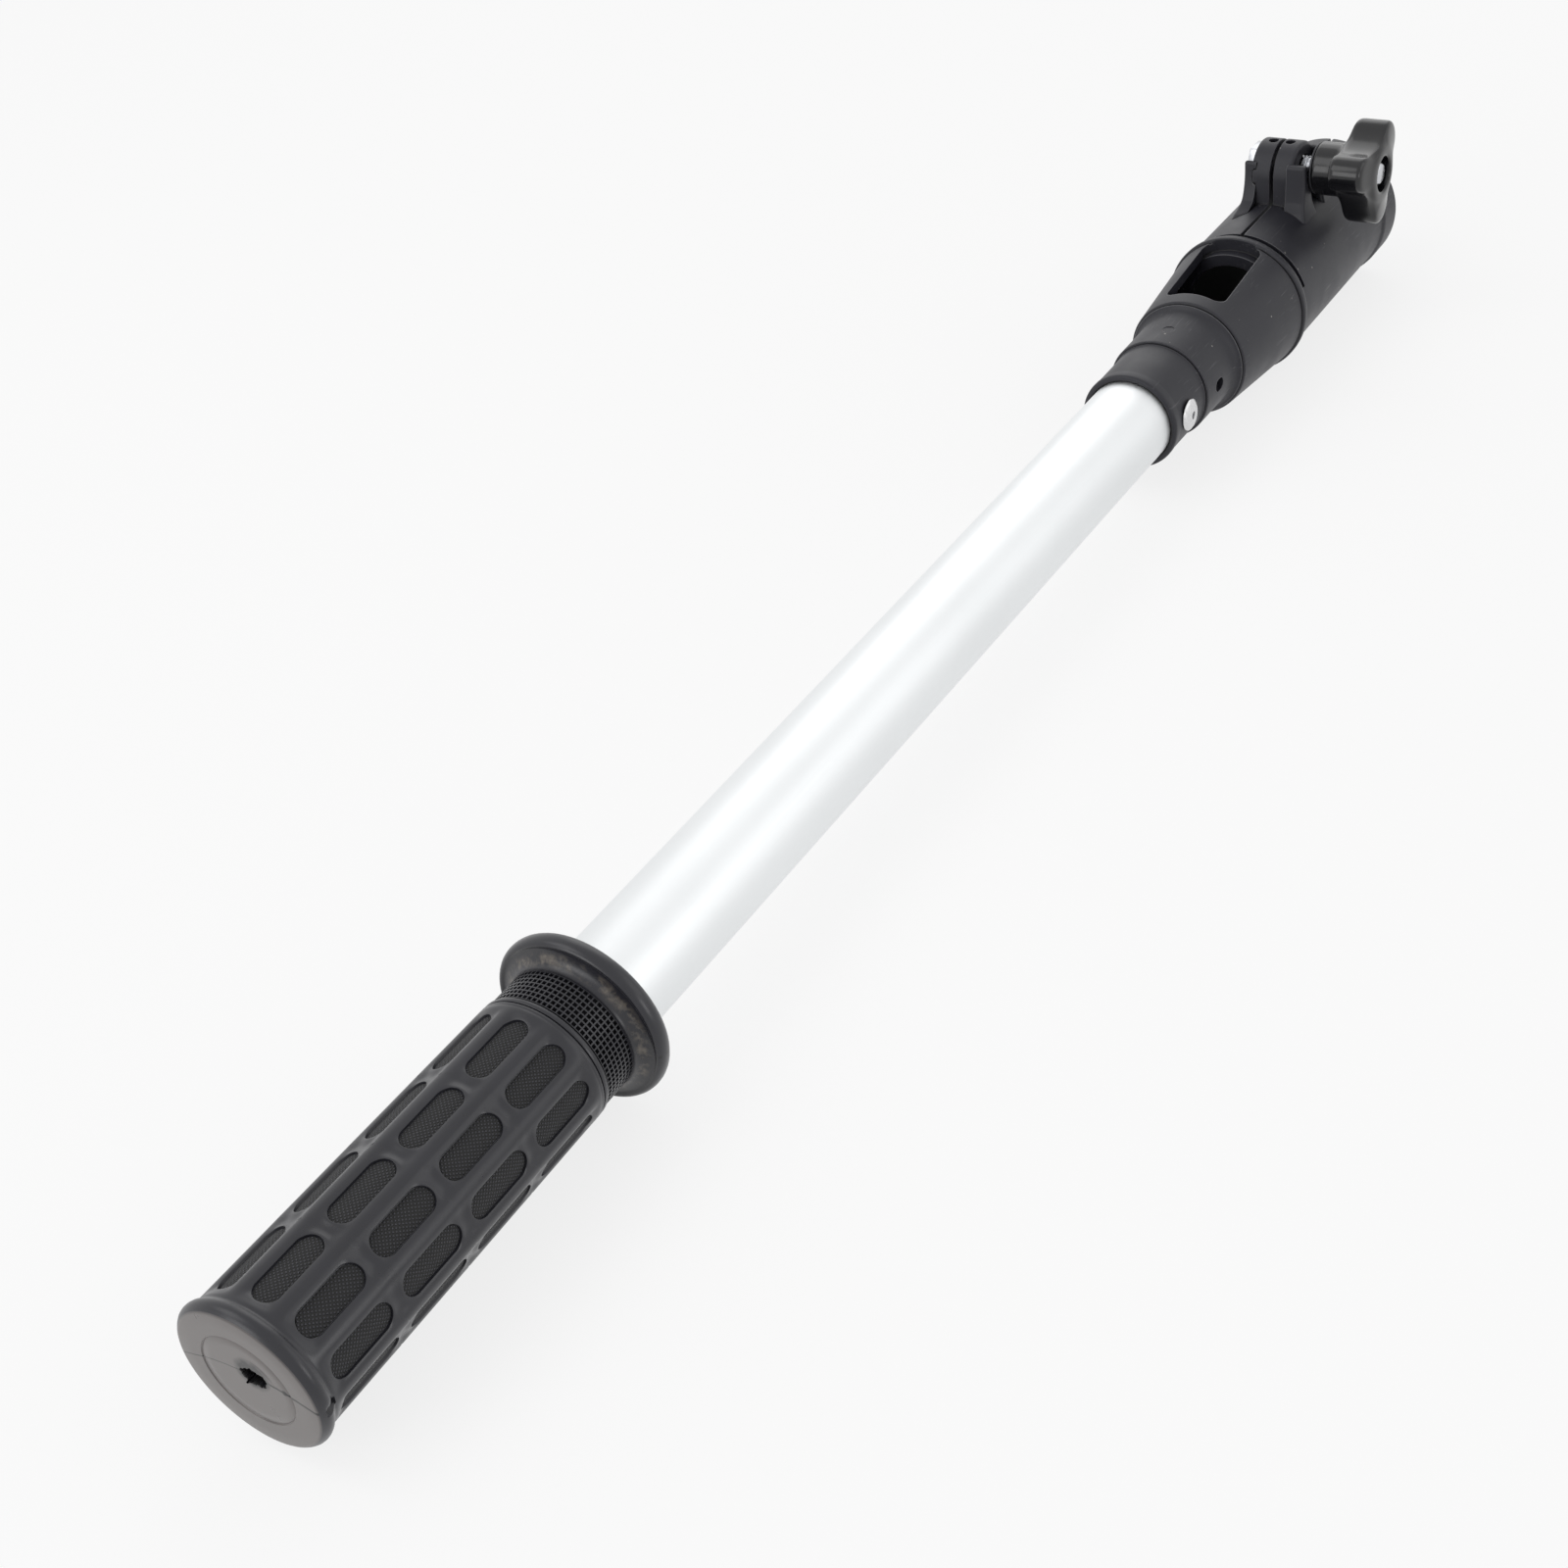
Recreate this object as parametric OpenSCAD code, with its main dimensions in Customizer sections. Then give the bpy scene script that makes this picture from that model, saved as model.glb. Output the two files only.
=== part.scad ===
/* [Tube] */
// Outside diameter of the aluminium tube
tube_d = 30; // [26:0.5:31]
// Wall thickness of the tube
tube_wall = 1.5; // [1:0.1:3]
// Length of tube seen between the grip and the collar
tube_bare = 314.7; // [200:5:600]

/* [Grip] */
// Length of the grip body between the end rim and the waffle band
grip_body_length = 105.4; // [104:0.1:160]
// Radius of the grip body beside the end rim
grip_body_r = 20.2; // [19.6:0.1:22]
// Radius of the grip body beside the waffle band
grip_body_end_r = 19.5; // [19.4:0.1:20]
// Radius of the bead round the closed end
grip_rim_r = 21.4; // [21:0.1:24]
// Length of the bead round the closed end
grip_rim_length = 5.6; // [5:0.1:8]
// Thickness of the closed end
grip_end_wall = 3.5; // [2:0.5:6]
// Radius of the shallow disc set into the closed end
grip_disc_r = 12.6; // [10:0.1:15]
// Rows of oblong pads along the grip
pad_rows = 4; // [2:1:4]
// Columns of oblong pads round the grip
pad_columns = 10; // [6:1:10]
// Distance between rows of pads
pad_pitch = 25.2; // [24.5:0.1:26]
// Length of a pad
pad_length = 20.6; // [16:0.1:22]
// Width of a pad
pad_width = 7.4; // [5:0.1:8]
// Depth of a pad below the body
pad_depth = 0.7; // [0.4:0.1:1]
// Radius of the waffle band
waffle_r = 18.8; // [18:0.1:19.2]
// Length of the waffle band
waffle_length = 10.5; // [8:0.5:14]
// Radius of the flange
flange_r = 25.3; // [23:0.1:30]
// Length of the flared neck and flange
flange_length = 10; // [9.5:0.5:14]
// Size of the tear in the closed end
tear_r = 3.6; // [2:0.1:5]

/* [Collar sleeve] */
// Radius of the first step, which holds the rivets
step_1_r = 17.1; // [16.8:0.1:17.8]
// Length of the first step
step_1_length = 23.8; // [20:0.1:40]
// Radius of the second step
step_2_r = 18.25; // [18:0.1:19]
// Length of the second step
step_2_length = 23.5; // [16:0.1:40]
// Radius of the cone at its small end
cone_r = 21.4; // [20.5:0.1:22]
// Radius of the cone at its large end
cone_end_r = 25.3; // [24.8:0.1:25.6]
// Length of the cone
cone_length = 42.6; // [42:0.1:60]
// Wall of the cone
cone_wall = 3.4; // [2.4:0.1:4]
// Width of the window in the cone
window_width = 22; // [14:0.5:24]
// Length of the window in the cone
window_length = 36.4; // [20:0.1:37]
// Corner radius of the window
window_corner = 4; // [1:0.5:6]
// Radius of the hole in the ring behind the window
shoulder_hole_r = 17.1; // [14:0.1:18]
// Thickness of the ring behind the window
shoulder_wall = 4.5; // [3:0.5:6]

/* [Clamp] */
// Radius of the clamp's bore
bore_r = 21; // [19:0.1:21.5]
// Outside radius of the clamp
clamp_r = 24.7; // [24:0.1:25.2]
// Length from the bolt to the open mouth
clamp_mouth = 48.5; // [36:0.5:70]
// Length from the bolt back to the ring behind the window
clamp_back = 43.5; // [42:0.5:60]
// Radius of the bead round the open mouth
mouth_rim_r = 25.6; // [25:0.1:27]
// Length of the bead round the open mouth
mouth_rim_length = 13; // [6:0.5:16]
// Width of the slit along the clamp
slit = 1.4; // [1:0.1:3]
// Width of the slot round the clamp
round_slot = 1.3; // [1:0.1:3]
// Angle from the slit to each end of the slot round the clamp
round_slot_angle = 72; // [40:1:90]

/* [Ears and bolt] */
// Height of the bolt above the clamp's axis
bolt_height = 35.4; // [34:0.1:36]
// Height of the top of the ears above the clamp's axis
ear_top = 44.3; // [44:0.1:48]
// Radius of the rounded top of each ear
ear_r = 11; // [10:0.1:12]
// Thickness of each ear
ear_thickness = 7.3; // [7:0.1:9]
// Height of the ridge that stands out from the ear beside the knob
ridge_height = 5.2; // [3:0.1:7]
// Height of the ridge that stands out from the far ear
far_ridge_height = 2.6; // [1:0.1:7]
// Height of the top of the ridges above the clamp's axis
ridge_top = 39.7; // [38:0.1:42]
// Radius of the pocket inside the ridge
pocket_r = 8.2; // [7.8:0.1:9]
// Diameter of the bolt
bolt_d = 8; // [6:1:8]
// Width across the flats of the bolt's head
bolt_head_flats = 13; // [11:0.5:13]
// Length of the bolt from its head to its tip
bolt_length = 43; // [40:1:46]

/* [Knob] */
// Radius of the knob over its lobes
knob_r = 20; // [18:0.5:22]
// Radius of each lobe's rounded tip
lobe_tip_r = 6.2; // [5:0.1:7]
// Radius at the hollows between lobes
hollow_r = 10.6; // [10.4:0.1:12]
// Radius of the knob's round neck
neck_r = 9.4; // [9:0.1:10.3]
// Length of the knob's round neck
neck_length = 9; // [6:0.5:14]
// Length of the knob's lobed head
head_length = 15; // [12:0.5:18]
// Turn of the lobes at rest, from straight up towards the grip
lobe_turn = 70; // [0:1:119]
// Radius of the recess in the knob's face
recess_r = 6.1; // [5.2:0.1:7]
// Depth of the recess in the knob's face
recess_depth = 7; // [4:0.5:8]
// Length of the knob's threaded insert
insert_length = 12; // [8:1:14]
// Thickness of the washer under the knob
washer_thickness = 0.8; // [0.6:0.1:2]

/* [Rivets] */
// Radius of each rivet's head
rivet_head_r = 5.4; // [4:0.1:6]
// Height of each rivet's head
rivet_head_height = 1.7; // [1:0.1:2.5]
// Radius of each rivet's body
rivet_r = 2.4; // [1.5:0.1:3]
// Distance of the rivets from the collar's mouth
rivet_from_mouth = 11; // [8:0.1:16]

/* [Hidden] */
// Roundness of turned and bored faces
$fn = 96;
tiny = 0.01;
// Gap between the tube and what it fits in
tube_gap = 0.08;
// Gap round the bolt and the rivets
hole_gap = 0.25;
rivet_gap = 0.06;
// Gap between the bolt and the insert's threads
thread_gap = 0.05;
// Gap left to tighten the knob, and between the knob and its washer
tighten_gap = 0.3;
knob_gap = 0.05;

tube_r = tube_d / 2;
tube_bore_r = tube_r - tube_wall;

// Stations along the tube, from the bolt: positive towards the open mouth
shoulder_back = -clamp_back;
shoulder_front = shoulder_back - shoulder_wall;
bead_width = 4.2;
bead_rise = 0.75;
bead_end = 3.3 - clamp_back;
bead_start = bead_end - bead_width;
slot_start = bead_end;
cone_start = bead_start - cone_length;
step_2_start = cone_start - step_2_length;
collar_mouth = step_2_start - step_1_length;
tube_stop = cone_start - 3;
stop_wall = 2.5;
stop_hole_r = tube_bore_r;
chamber_start = tube_stop + stop_wall;
chamber_r = cone_r - cone_wall;
chamber_end_r = bore_r + 0.5;

flange_end = collar_mouth - tube_bare;
flange_start = flange_end - flange_length;
waffle_start = flange_start - waffle_length;
body_start = waffle_start - grip_body_length;
rim_start = body_start - grip_rim_length;
tube_start = rim_start + grip_end_wall;
pads_offset = -2.4;
pads_start = body_start + (grip_body_length - pad_pitch * (pad_rows - 1)) / 2 + pads_offset;
pad_phase = 7.5;

rivet_x = collar_mouth + rivet_from_mouth;
side_hole_x = cone_start - 13.9;
side_hole_r = 2.2;
side_hole_length = 6;

ear_in = slit / 2;
ear_out = ear_in + ear_thickness;
ridge_out = ear_out + ridge_height;
ear_centre = ear_top - ear_r;
ear_foot = 18;
head_height = 5.3;
head_seat = 5.7;
bolt_tip = head_seat - bolt_length;
washer_face = -ridge_out - tighten_gap;
knob_end = washer_face - washer_thickness - knob_gap;
head_start = knob_end - neck_length;
knob_face = head_start - head_length;
insert_start = knob_end - 0.5;
insert_end = insert_start - insert_length;
insert_r = bolt_d / 2 + 2;

// Turns a profile of [radius, station] points round the tube's axis
module turned(points) {
    rotate([0, 90, 0]) rotate_extrude() polygon(points);
}

// Cylinder along the tube's axis, from one station to another
module rod(r, from, to) {
    translate([from, 0, 0]) rotate([0, 90, 0]) cylinder(r = r, h = to - from);
}

// Cone along the tube's axis, from one station to another
module taper(r1, r2, from, to) {
    translate([from, 0, 0]) rotate([0, 90, 0]) cylinder(r1 = r1, r2 = r2, h = to - from);
}

// Cylinder along the bolt's axis, between two distances from the slit
module cross_rod(r, from, to, facets = $fn) {
    translate([0, to, bolt_height]) rotate([90, 0, 0])
        cylinder(r = r, h = to - from, $fn = facets);
}

// Outline in the plane of the ears, made as thick as the gap between two distances
module cross_plate(from, to) {
    translate([0, to, 0]) rotate([90, 0, 0]) linear_extrude(height = to - from) children();
}

module collar_outside() {
    edge = 0.6;
    fillet = 1.6;
    turned([
        [0, collar_mouth], [step_1_r - edge, collar_mouth], [step_1_r + 0.1, collar_mouth + edge],
        [step_1_r + 0.1, collar_mouth + 2.5], [step_1_r - 0.1, collar_mouth + 4.5],
        [step_1_r + 0.1, step_2_start], [step_2_r - edge, step_2_start],
        [step_2_r, step_2_start + edge],
        [step_2_r + 0.2, cone_start - fillet], [step_2_r + 0.6, cone_start - fillet / 3],
        [step_2_r + fillet, cone_start], [cone_r - edge, cone_start],
        [cone_r, cone_start + edge], [cone_end_r, bead_start],
        [cone_end_r + bead_rise - 0.3, bead_start], [cone_end_r + bead_rise, bead_start + 0.5],
        [cone_end_r + bead_rise, bead_end - 0.5], [cone_end_r + bead_rise - 0.3, bead_end],
        [clamp_r, bead_end], [clamp_r, clamp_mouth - mouth_rim_length],
        [mouth_rim_r, clamp_mouth - mouth_rim_length + 1], [mouth_rim_r, clamp_mouth - 1.2],
        [mouth_rim_r - 0.9, clamp_mouth], [0, clamp_mouth]
    ]);
}

module ear_outline(r) {
    translate([0, ear_centre]) circle(r = r);
    polygon([[-r - 2.5, ear_foot], [r + 2.5, ear_foot], [r, ear_centre], [-r, ear_centre]]);
}

// Two ribs with a flared foot, which leave a round pocket between them for the bolt
module ridge_outline() {
    channel = 1.7;
    flare = [[15.8, ear_foot], [14.5, 21], [13.2, 24], [12.3, 28], [11.4, ridge_top]];
    difference() {
        polygon(concat([for (point = flare) point], [for (k = [4 : -1 : 0]) [-flare[k][0], flare[k][1]]]));
        translate([0, bolt_height]) circle(r = pocket_r);
        translate([-pocket_r, bolt_height]) square([2 * pocket_r, ridge_top]);
        polygon([[-channel, ear_foot - 1], [channel, ear_foot - 1],
            [channel + 3.5, bolt_height - 5], [-channel - 3.5, bolt_height - 5]]);
    }
}

module ears() {
    edge = 1.4;
    for (side = [0, 1]) mirror([0, side, 0]) {
        height = side == 0 ? far_ridge_height : ridge_height;
        cross_plate(ear_in, ear_out - edge) ear_outline(ear_r);
        cross_plate(ear_out - edge - tiny, ear_out) ear_outline(ear_r - edge);
        translate([0, ear_out, ear_centre]) rotate([90, 0, 0])
            cylinder(r1 = ear_r - edge, r2 = ear_r, h = edge);
        cross_plate(ear_out - edge, ear_out + height) ridge_outline();
    }
}

module collar_inside() {
    mouth_bevel = 1;
    rod(tube_r + tube_gap, collar_mouth - 1, tube_stop);
    rod(stop_hole_r, tube_stop - tiny, chamber_start + tiny);
    taper(chamber_r, chamber_end_r, chamber_start, shoulder_front);
    rod(shoulder_hole_r, shoulder_front - tiny, shoulder_back + tiny);
    rod(bore_r, shoulder_back, clamp_mouth + 1);
    taper(bore_r, bore_r + mouth_bevel, clamp_mouth - mouth_bevel, clamp_mouth + tiny);
}

module window_cut() {
    middle = bead_start - window_length / 2 + 0.1;
    floor_z = 11;
    difference() {
        translate([middle, 0, floor_z]) linear_extrude(height = 20) {
            square([window_length - 2 * window_corner, window_width], center = true);
            square([window_length, window_width - 2 * window_corner], center = true);
            for (sx = [-1, 1], sy = [-1, 1])
                translate([sx * (window_length / 2 - window_corner), sy * (window_width / 2 - window_corner)])
                    circle(r = window_corner, $fn = 48);
        }
        rod(chamber_end_r, shoulder_front, bead_end);
    }
}

// Oval holes through both sides of the second step
module side_holes() {
    half = side_hole_length / 2 - side_hole_r;
    translate([side_hole_x, 0, 0]) rotate([90, 0, 0])
        linear_extrude(height = 60, center = true) {
            for (side = [-1, 1]) translate([side * half, 0]) circle(r = side_hole_r, $fn = 48);
            square([2 * half, 2 * side_hole_r], center = true);
        }
}

module rivet_holes(r) {
    translate([rivet_x, 0, 0]) rotate([90, 0, 0]) cylinder(r = r, h = 60, center = true);
}

module clamp_collar() {
    mark_r = 2.1;
    mark_depth = 0.25;
    top_hole_r = 1.85;
    top_hole_depth = 3.8;
    top_hole_place = ear_in + 2.5;
    color([0.2, 0.2, 0.21]) difference() {
        union() {
            collar_outside();
            ears();
        }
        collar_inside();
        window_cut();
        // Slit between the ears and along the clamp
        translate([slot_start, -slit / 2, bore_r / 2])
            cube([clamp_mouth - slot_start + 1, slit, bolt_height + 2 * ear_r]);
        // Slot round the clamp that frees its two wings
        rotate([0, 90, 0]) rotate([0, 0, 180 - round_slot_angle])
            rotate_extrude(angle = 2 * round_slot_angle)
                translate([bore_r - 1, slot_start]) square([clamp_r - bore_r + 3, round_slot]);
        cross_rod(bolt_d / 2 + hole_gap, -ridge_out - 1, ridge_out + 1);
        // Six-sided seat that the bolt's head is sunk in
        cross_rod((bolt_head_flats / 2 + 0.1) / cos(30), head_seat, ridge_out + 1, 6);
        rivet_holes(rivet_r + rivet_gap);
        side_holes();
        // Shallow round mark on top of the second step
        translate([side_hole_x, 0, step_2_r + 0.1 - mark_depth]) cylinder(r = mark_r, h = 2, $fn = 48);
        for (side = [-1, 1]) translate([0, side * top_hole_place, ear_top - top_hole_depth])
            cylinder(r = top_hole_r, h = top_hole_depth + 1, $fn = 48);
    }
}

module tube() {
    color([0.86, 0.87, 0.87]) difference() {
        rod(tube_r, tube_start, tube_stop);
        rod(tube_bore_r, tube_start - 1, tube_stop + 1);
        rivet_holes(rivet_r + rivet_gap);
        side_holes();
    }
}

module grip_outside() {
    edge = 1.5;
    turned([
        [0, rim_start], [grip_rim_r - edge, rim_start], [grip_rim_r - 0.4, rim_start + 0.5],
        [grip_rim_r, rim_start + edge], [grip_rim_r, rim_start + 3], [grip_rim_r - 0.8, rim_start + 4.2],
        [grip_body_r - 0.1, body_start - 0.6], [grip_body_r, body_start + 1],
        [grip_body_end_r, waffle_start - 0.6], [grip_body_end_r - 0.4, waffle_start],
        [waffle_r, waffle_start], [waffle_r, flange_start],
        [waffle_r + 0.4, flange_start + 1.6], [waffle_r + 1.6, flange_start + 2.8],
        [waffle_r + 3.4, flange_start + 3.4], [flange_r - 1.6, flange_start + 3.4],
        [flange_r - 0.5, flange_start + 3.9], [flange_r, flange_start + 5],
        [flange_r, flange_start + 6.6], [flange_r - 1, flange_start + 7.9],
        [flange_r - 3, flange_start + 8.5], [waffle_r + 0.6, flange_end - 0.8],
        [waffle_r - 0.4, flange_end], [0, flange_end]
    ]);
}

// Oblong block whose place is where a pad is cut into the grip's side
module pad_block() {
    half = (pad_length - pad_width) / 2;
    translate([0, 0, waffle_r - 1.5]) linear_extrude(height = 6) {
        for (side = [-1, 1]) translate([side * half, 0]) circle(d = pad_width, $fn = 48);
        square([2 * half, pad_width], center = true);
    }
}

module grip() {
    disc_depth = 0.3;
    tear = [for (a = [0 : 30 : 330]) tear_r * (1 + 0.16 * sin(3 * a + 40) + 0.1 * cos(5 * a)) * [cos(a), sin(a)]];
    color([0.17, 0.17, 0.18]) difference() {
        grip_outside();
        rod(tube_r + tube_gap, tube_start, flange_end + 1);
        difference() {
            for (row = [0 : pad_rows - 1], column = [0 : pad_columns - 1])
                rotate([(pad_phase + column * 360 / pad_columns), 0, 0])
                    translate([pads_start + row * pad_pitch, 0, 0]) pad_block();
            taper(grip_body_r - pad_depth, grip_body_end_r - pad_depth, body_start - 1, waffle_start);
        }
        // Shallow disc moulded into the closed end, and the tear through it
        rod(grip_disc_r, rim_start - 1, rim_start + disc_depth);
        translate([rim_start - 1, -2.4, 2.7]) rotate([90, 0, 90])
            linear_extrude(height = grip_end_wall + 2) polygon(tear);
    }
}

// One half of a pair: the near side is the knob's side
module on_both_sides() {
    for (side = [0, 1]) mirror([0, side, 0]) translate([rivet_x, 0, 0]) rotate([90, 0, 0]) children();
}

module rivet_bodies() {
    bulb = 3.4;
    bulb_length = 3.6;
    dome_r = (pow(rivet_head_r, 2) + pow(rivet_head_height, 2)) / (2 * rivet_head_height);
    seat = step_1_r + 0.12;
    color([0.85, 0.85, 0.86]) on_both_sides() difference() {
        union() {
            intersection() {
                translate([0, 0, seat + rivet_head_height - dome_r]) sphere(r = dome_r);
                translate([0, 0, seat]) cylinder(r = rivet_head_r, h = rivet_head_height + 1);
            }
            translate([0, 0, tube_bore_r - bulb_length]) cylinder(r = rivet_r, h = seat - tube_bore_r + bulb_length + tiny);
            translate([0, 0, tube_bore_r - bulb_length - 0.4]) cylinder(r1 = rivet_r, r2 = bulb, h = bulb_length / 2);
            translate([0, 0, tube_bore_r - bulb_length / 2 - 0.4 - tiny]) cylinder(r1 = bulb, r2 = rivet_r, h = bulb_length / 2);
        }
        translate([0, 0, tube_bore_r - bulb_length - 1]) cylinder(r = rivet_r / 2 + rivet_gap, h = 20);
    }
}

module rivet_mandrels() {
    seat = step_1_r + rivet_head_height;
    foot = tube_bore_r - 5.2;
    color([0.6, 0.6, 0.62]) on_both_sides() {
        translate([0, 0, foot]) cylinder(r = rivet_r / 2, h = seat - 0.7 - foot);
        translate([0, 0, foot - 1.4]) cylinder(r1 = rivet_r * 0.6, r2 = rivet_r * 0.9, h = 1.4 + tiny);
    }
}

module clamp_bolt() {
    point = 0.8;
    color([0.78, 0.78, 0.8]) {
        cross_rod(bolt_head_flats / 2 / cos(30), head_seat, head_seat + head_height, 6);
        cross_rod(bolt_d / 2, bolt_tip + point, head_seat + tiny);
        translate([0, bolt_tip + point + tiny, bolt_height]) rotate([90, 0, 0])
            cylinder(r1 = bolt_d / 2, r2 = bolt_d / 2 - point, h = point);
    }
}

module knob_washer() {
    color([0.12, 0.12, 0.12]) difference() {
        cross_rod(neck_r - 0.3, washer_face - washer_thickness, washer_face);
        cross_rod(bolt_d / 2 + hole_gap, washer_face - washer_thickness - 1, washer_face + 1);
    }
}

// Three rounded lobes joined by hollow curves
module lobes_outline() {
    reach = knob_r - lobe_tip_r;
    hollow_curve = (pow(reach, 2) + pow(hollow_r, 2) - reach * hollow_r - pow(lobe_tip_r, 2))
        / (2 * lobe_tip_r + reach - 2 * hollow_r);
    hollow_reach = hollow_r + hollow_curve;
    meet = lobe_tip_r / (lobe_tip_r + hollow_curve);
    difference() {
        union() {
            polygon([for (k = [0 : 2], s = [-1, 1]) let (
                tip = reach * [cos(120 * k), sin(120 * k)],
                hollow = hollow_reach * [cos(120 * k + 60 * s), sin(120 * k + 60 * s)]
            ) tip + meet * (hollow - tip)]);
            for (k = [0 : 2]) rotate([0, 0, 120 * k]) translate([reach, 0]) circle(r = lobe_tip_r);
        }
        for (k = [0 : 2]) rotate([0, 0, 120 * k + 60]) translate([hollow_reach, 0])
            circle(r = hollow_curve + tiny);
    }
}

// Turned blank that gives the head its nearly flat back, rounded rim and crowned face
module head_blank() {
    rotate_extrude() polygon([
        [0, 0], [neck_r, 0], [knob_r - 4.5, 0.5], [knob_r - 1.8, 1.1],
        [knob_r - 0.5, 1.9], [knob_r + 0.2, 3.2], [knob_r + 0.2, head_length - 3.8],
        [knob_r - 0.4, head_length - 2.8], [knob_r - 1.2, head_length - 2.1],
        [knob_r - 3, head_length - 1.5], [recess_r + 5.9, head_length - 0.5],
        [recess_r + 2, head_length], [0, head_length]
    ]);
}

module knob() {
    edge = 0.8;
    color([0.07, 0.07, 0.08]) translate([0, 0, bolt_height]) rotate([90, 0, 0]) difference() {
        union() {
            translate([0, 0, -knob_end]) cylinder(r1 = neck_r - edge, r2 = neck_r, h = edge);
            translate([0, 0, -knob_end + edge]) cylinder(r = neck_r, h = neck_length);
            intersection() {
                translate([0, 0, -head_start]) head_blank();
                translate([0, 0, -head_start - 1]) rotate([0, 0, 90 + lobe_turn])
                    linear_extrude(height = head_length + 2) lobes_outline();
            }
        }
        // Seat for the insert, clearance for the bolt and the recess in the face
        translate([0, 0, -knob_end - 1]) cylinder(r = insert_r, h = knob_end - insert_end + 1);
        translate([0, 0, -insert_end - 1]) cylinder(r = bolt_d / 2 + hole_gap, h = head_length);
        translate([0, 0, -knob_face - recess_depth]) cylinder(r = recess_r, h = recess_depth + 1);
    }
}

module knob_insert() {
    color([0.75, 0.6, 0.3]) difference() {
        cross_rod(insert_r, insert_end, insert_start);
        cross_rod(bolt_d / 2 + thread_gap, insert_end - 1, insert_start + 1);
    }
}

clamp_collar();
tube();
grip();
rivet_bodies();
rivet_mandrels();
clamp_bolt();
knob_washer();
knob();
knob_insert();
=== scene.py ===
"""Looks for an outboard tiller extension: rubber grip, aluminium tube and split clamp collar with a lobed knob."""
import math

import bmesh
import bpy
from mathutils import Matrix, Vector


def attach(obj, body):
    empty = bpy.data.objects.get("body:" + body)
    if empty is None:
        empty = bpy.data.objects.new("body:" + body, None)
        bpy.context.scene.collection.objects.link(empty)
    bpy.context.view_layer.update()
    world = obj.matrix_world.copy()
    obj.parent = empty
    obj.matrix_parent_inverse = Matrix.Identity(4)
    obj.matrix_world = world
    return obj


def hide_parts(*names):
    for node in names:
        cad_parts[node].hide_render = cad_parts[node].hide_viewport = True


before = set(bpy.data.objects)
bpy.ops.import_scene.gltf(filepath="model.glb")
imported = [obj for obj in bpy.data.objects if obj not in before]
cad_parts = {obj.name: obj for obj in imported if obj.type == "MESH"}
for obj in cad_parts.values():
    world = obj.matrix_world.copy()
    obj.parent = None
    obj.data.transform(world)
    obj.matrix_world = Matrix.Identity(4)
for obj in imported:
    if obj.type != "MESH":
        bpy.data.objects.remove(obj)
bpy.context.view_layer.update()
MM = 0.001
TURN = 2 * math.pi

# Stations along the part in millimetres from the clamp bolt, as in the part's source
SHOULDER_BACK = -43.5
SHOULDER_FRONT = -48.0
BEAD_END = -40.2
TUBE_STOP = -90.0
RIVET_X = -123.3
SIDE_HOLE_X = -100.9
WAFFLE_END = -459.5
WAFFLE_START = -470.0
BODY_START = -574.9
TUBE_START = -577.0
PADS_START = -562.4
PAD_PITCH = 25.2
BOLT_HEIGHT = 35.4
EAR_TOP = 44.3
EAR_R = 11.0
RIDGE_TOP = 39.7
NEAR_RIDGE = 13.2
FAR_RIDGE = 10.6
HEAD_SEAT = 5.7
BORE_R = 21.0
HALF_SLIT = 0.7
EAR_FACE = 8.0
ROUND_SLOT = 2.8
ROUND_SLOT_ANGLE = 72.0
RIVET_HOLE_R = 2.46
# Distance between the threads drawn on the grip's pads
THREAD_PITCH = 0.88
# Middle and radius of each black spot of painted shade on the grip
PAINTED_SHADE_SPOTS = (((-580.4, -11.3, 1.75), 1.0), ((-577.4, -21.3, -1.6), 1.4), ((-576.0, -20.8, -1.0), 1.3),
             ((-453.4, -25.1, -3.0), 0.8), ((-455.6, -24.3, -3.2), 0.7))
# Nicks in the grip: stations, middle angle and half width in degrees, and depth as a share of the radius
NICKS = ((-578.6, -575.0, 94.0, 3.0, 0.09), (-456.3, -451.8, 96.9, 1.8, 0.05))


# Colours and nodes
def linear(hex_colour):
    """sRGB hex to the linear colour that the shaders take"""
    parts = [int(hex_colour[i:i + 2], 16) / 255 for i in (1, 3, 5)]
    return tuple(c / 12.92 if c <= 0.04045 else ((c + 0.055) / 1.055) ** 2.4 for c in parts) + (1.0,)


def add(tree, kind, links=None, **settings):
    """Adds a node with its settings, values and links"""
    node = tree.nodes.new("ShaderNode" + kind)
    for name, value in settings.items():
        setattr(node, name, value)
    for key, value in (links or {}).items():
        if isinstance(value, bpy.types.NodeSocket):
            tree.links.new(value, node.inputs[key])
        else:
            node.inputs[key].default_value = value
    return node


def layered(tree, colour, *layers):
    """Lays colours over a first one, each as far as its mask says"""
    for mask, top in layers:
        colour = add(tree, "Mix", {"Factor": mask, "A": colour, "B": top}, data_type="RGBA").outputs["Result"]
    return colour


def new_material(name):
    material = bpy.data.materials.new(name)
    material.use_nodes = True
    tree = material.node_tree
    tree.nodes.clear()
    shader = add(tree, "BsdfPrincipled")
    add(tree, "OutputMaterial", {"Surface": shader.outputs[0]})
    return material, tree, shader


def surface(tree, shader, colour, rough, normal):
    """Links a material's colour, roughness and normal to its shader"""
    for name, socket in (("Base Color", colour), ("Roughness", rough), ("Normal", normal)):
        tree.links.new(socket, shader.inputs[name])


def from_axis(tree, where):
    """A place's X, Y and Z, the same without X, and its distance from the long axis"""
    axes = add(tree, "SeparateXYZ", {"Vector": where})
    across = add(tree, "CombineXYZ", {"Y": axes.outputs["Y"], "Z": axes.outputs["Z"]})
    radius = add(tree, "VectorMath", {0: across.outputs[0]}, operation="LENGTH").outputs["Value"]
    return axes, across, radius


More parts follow.
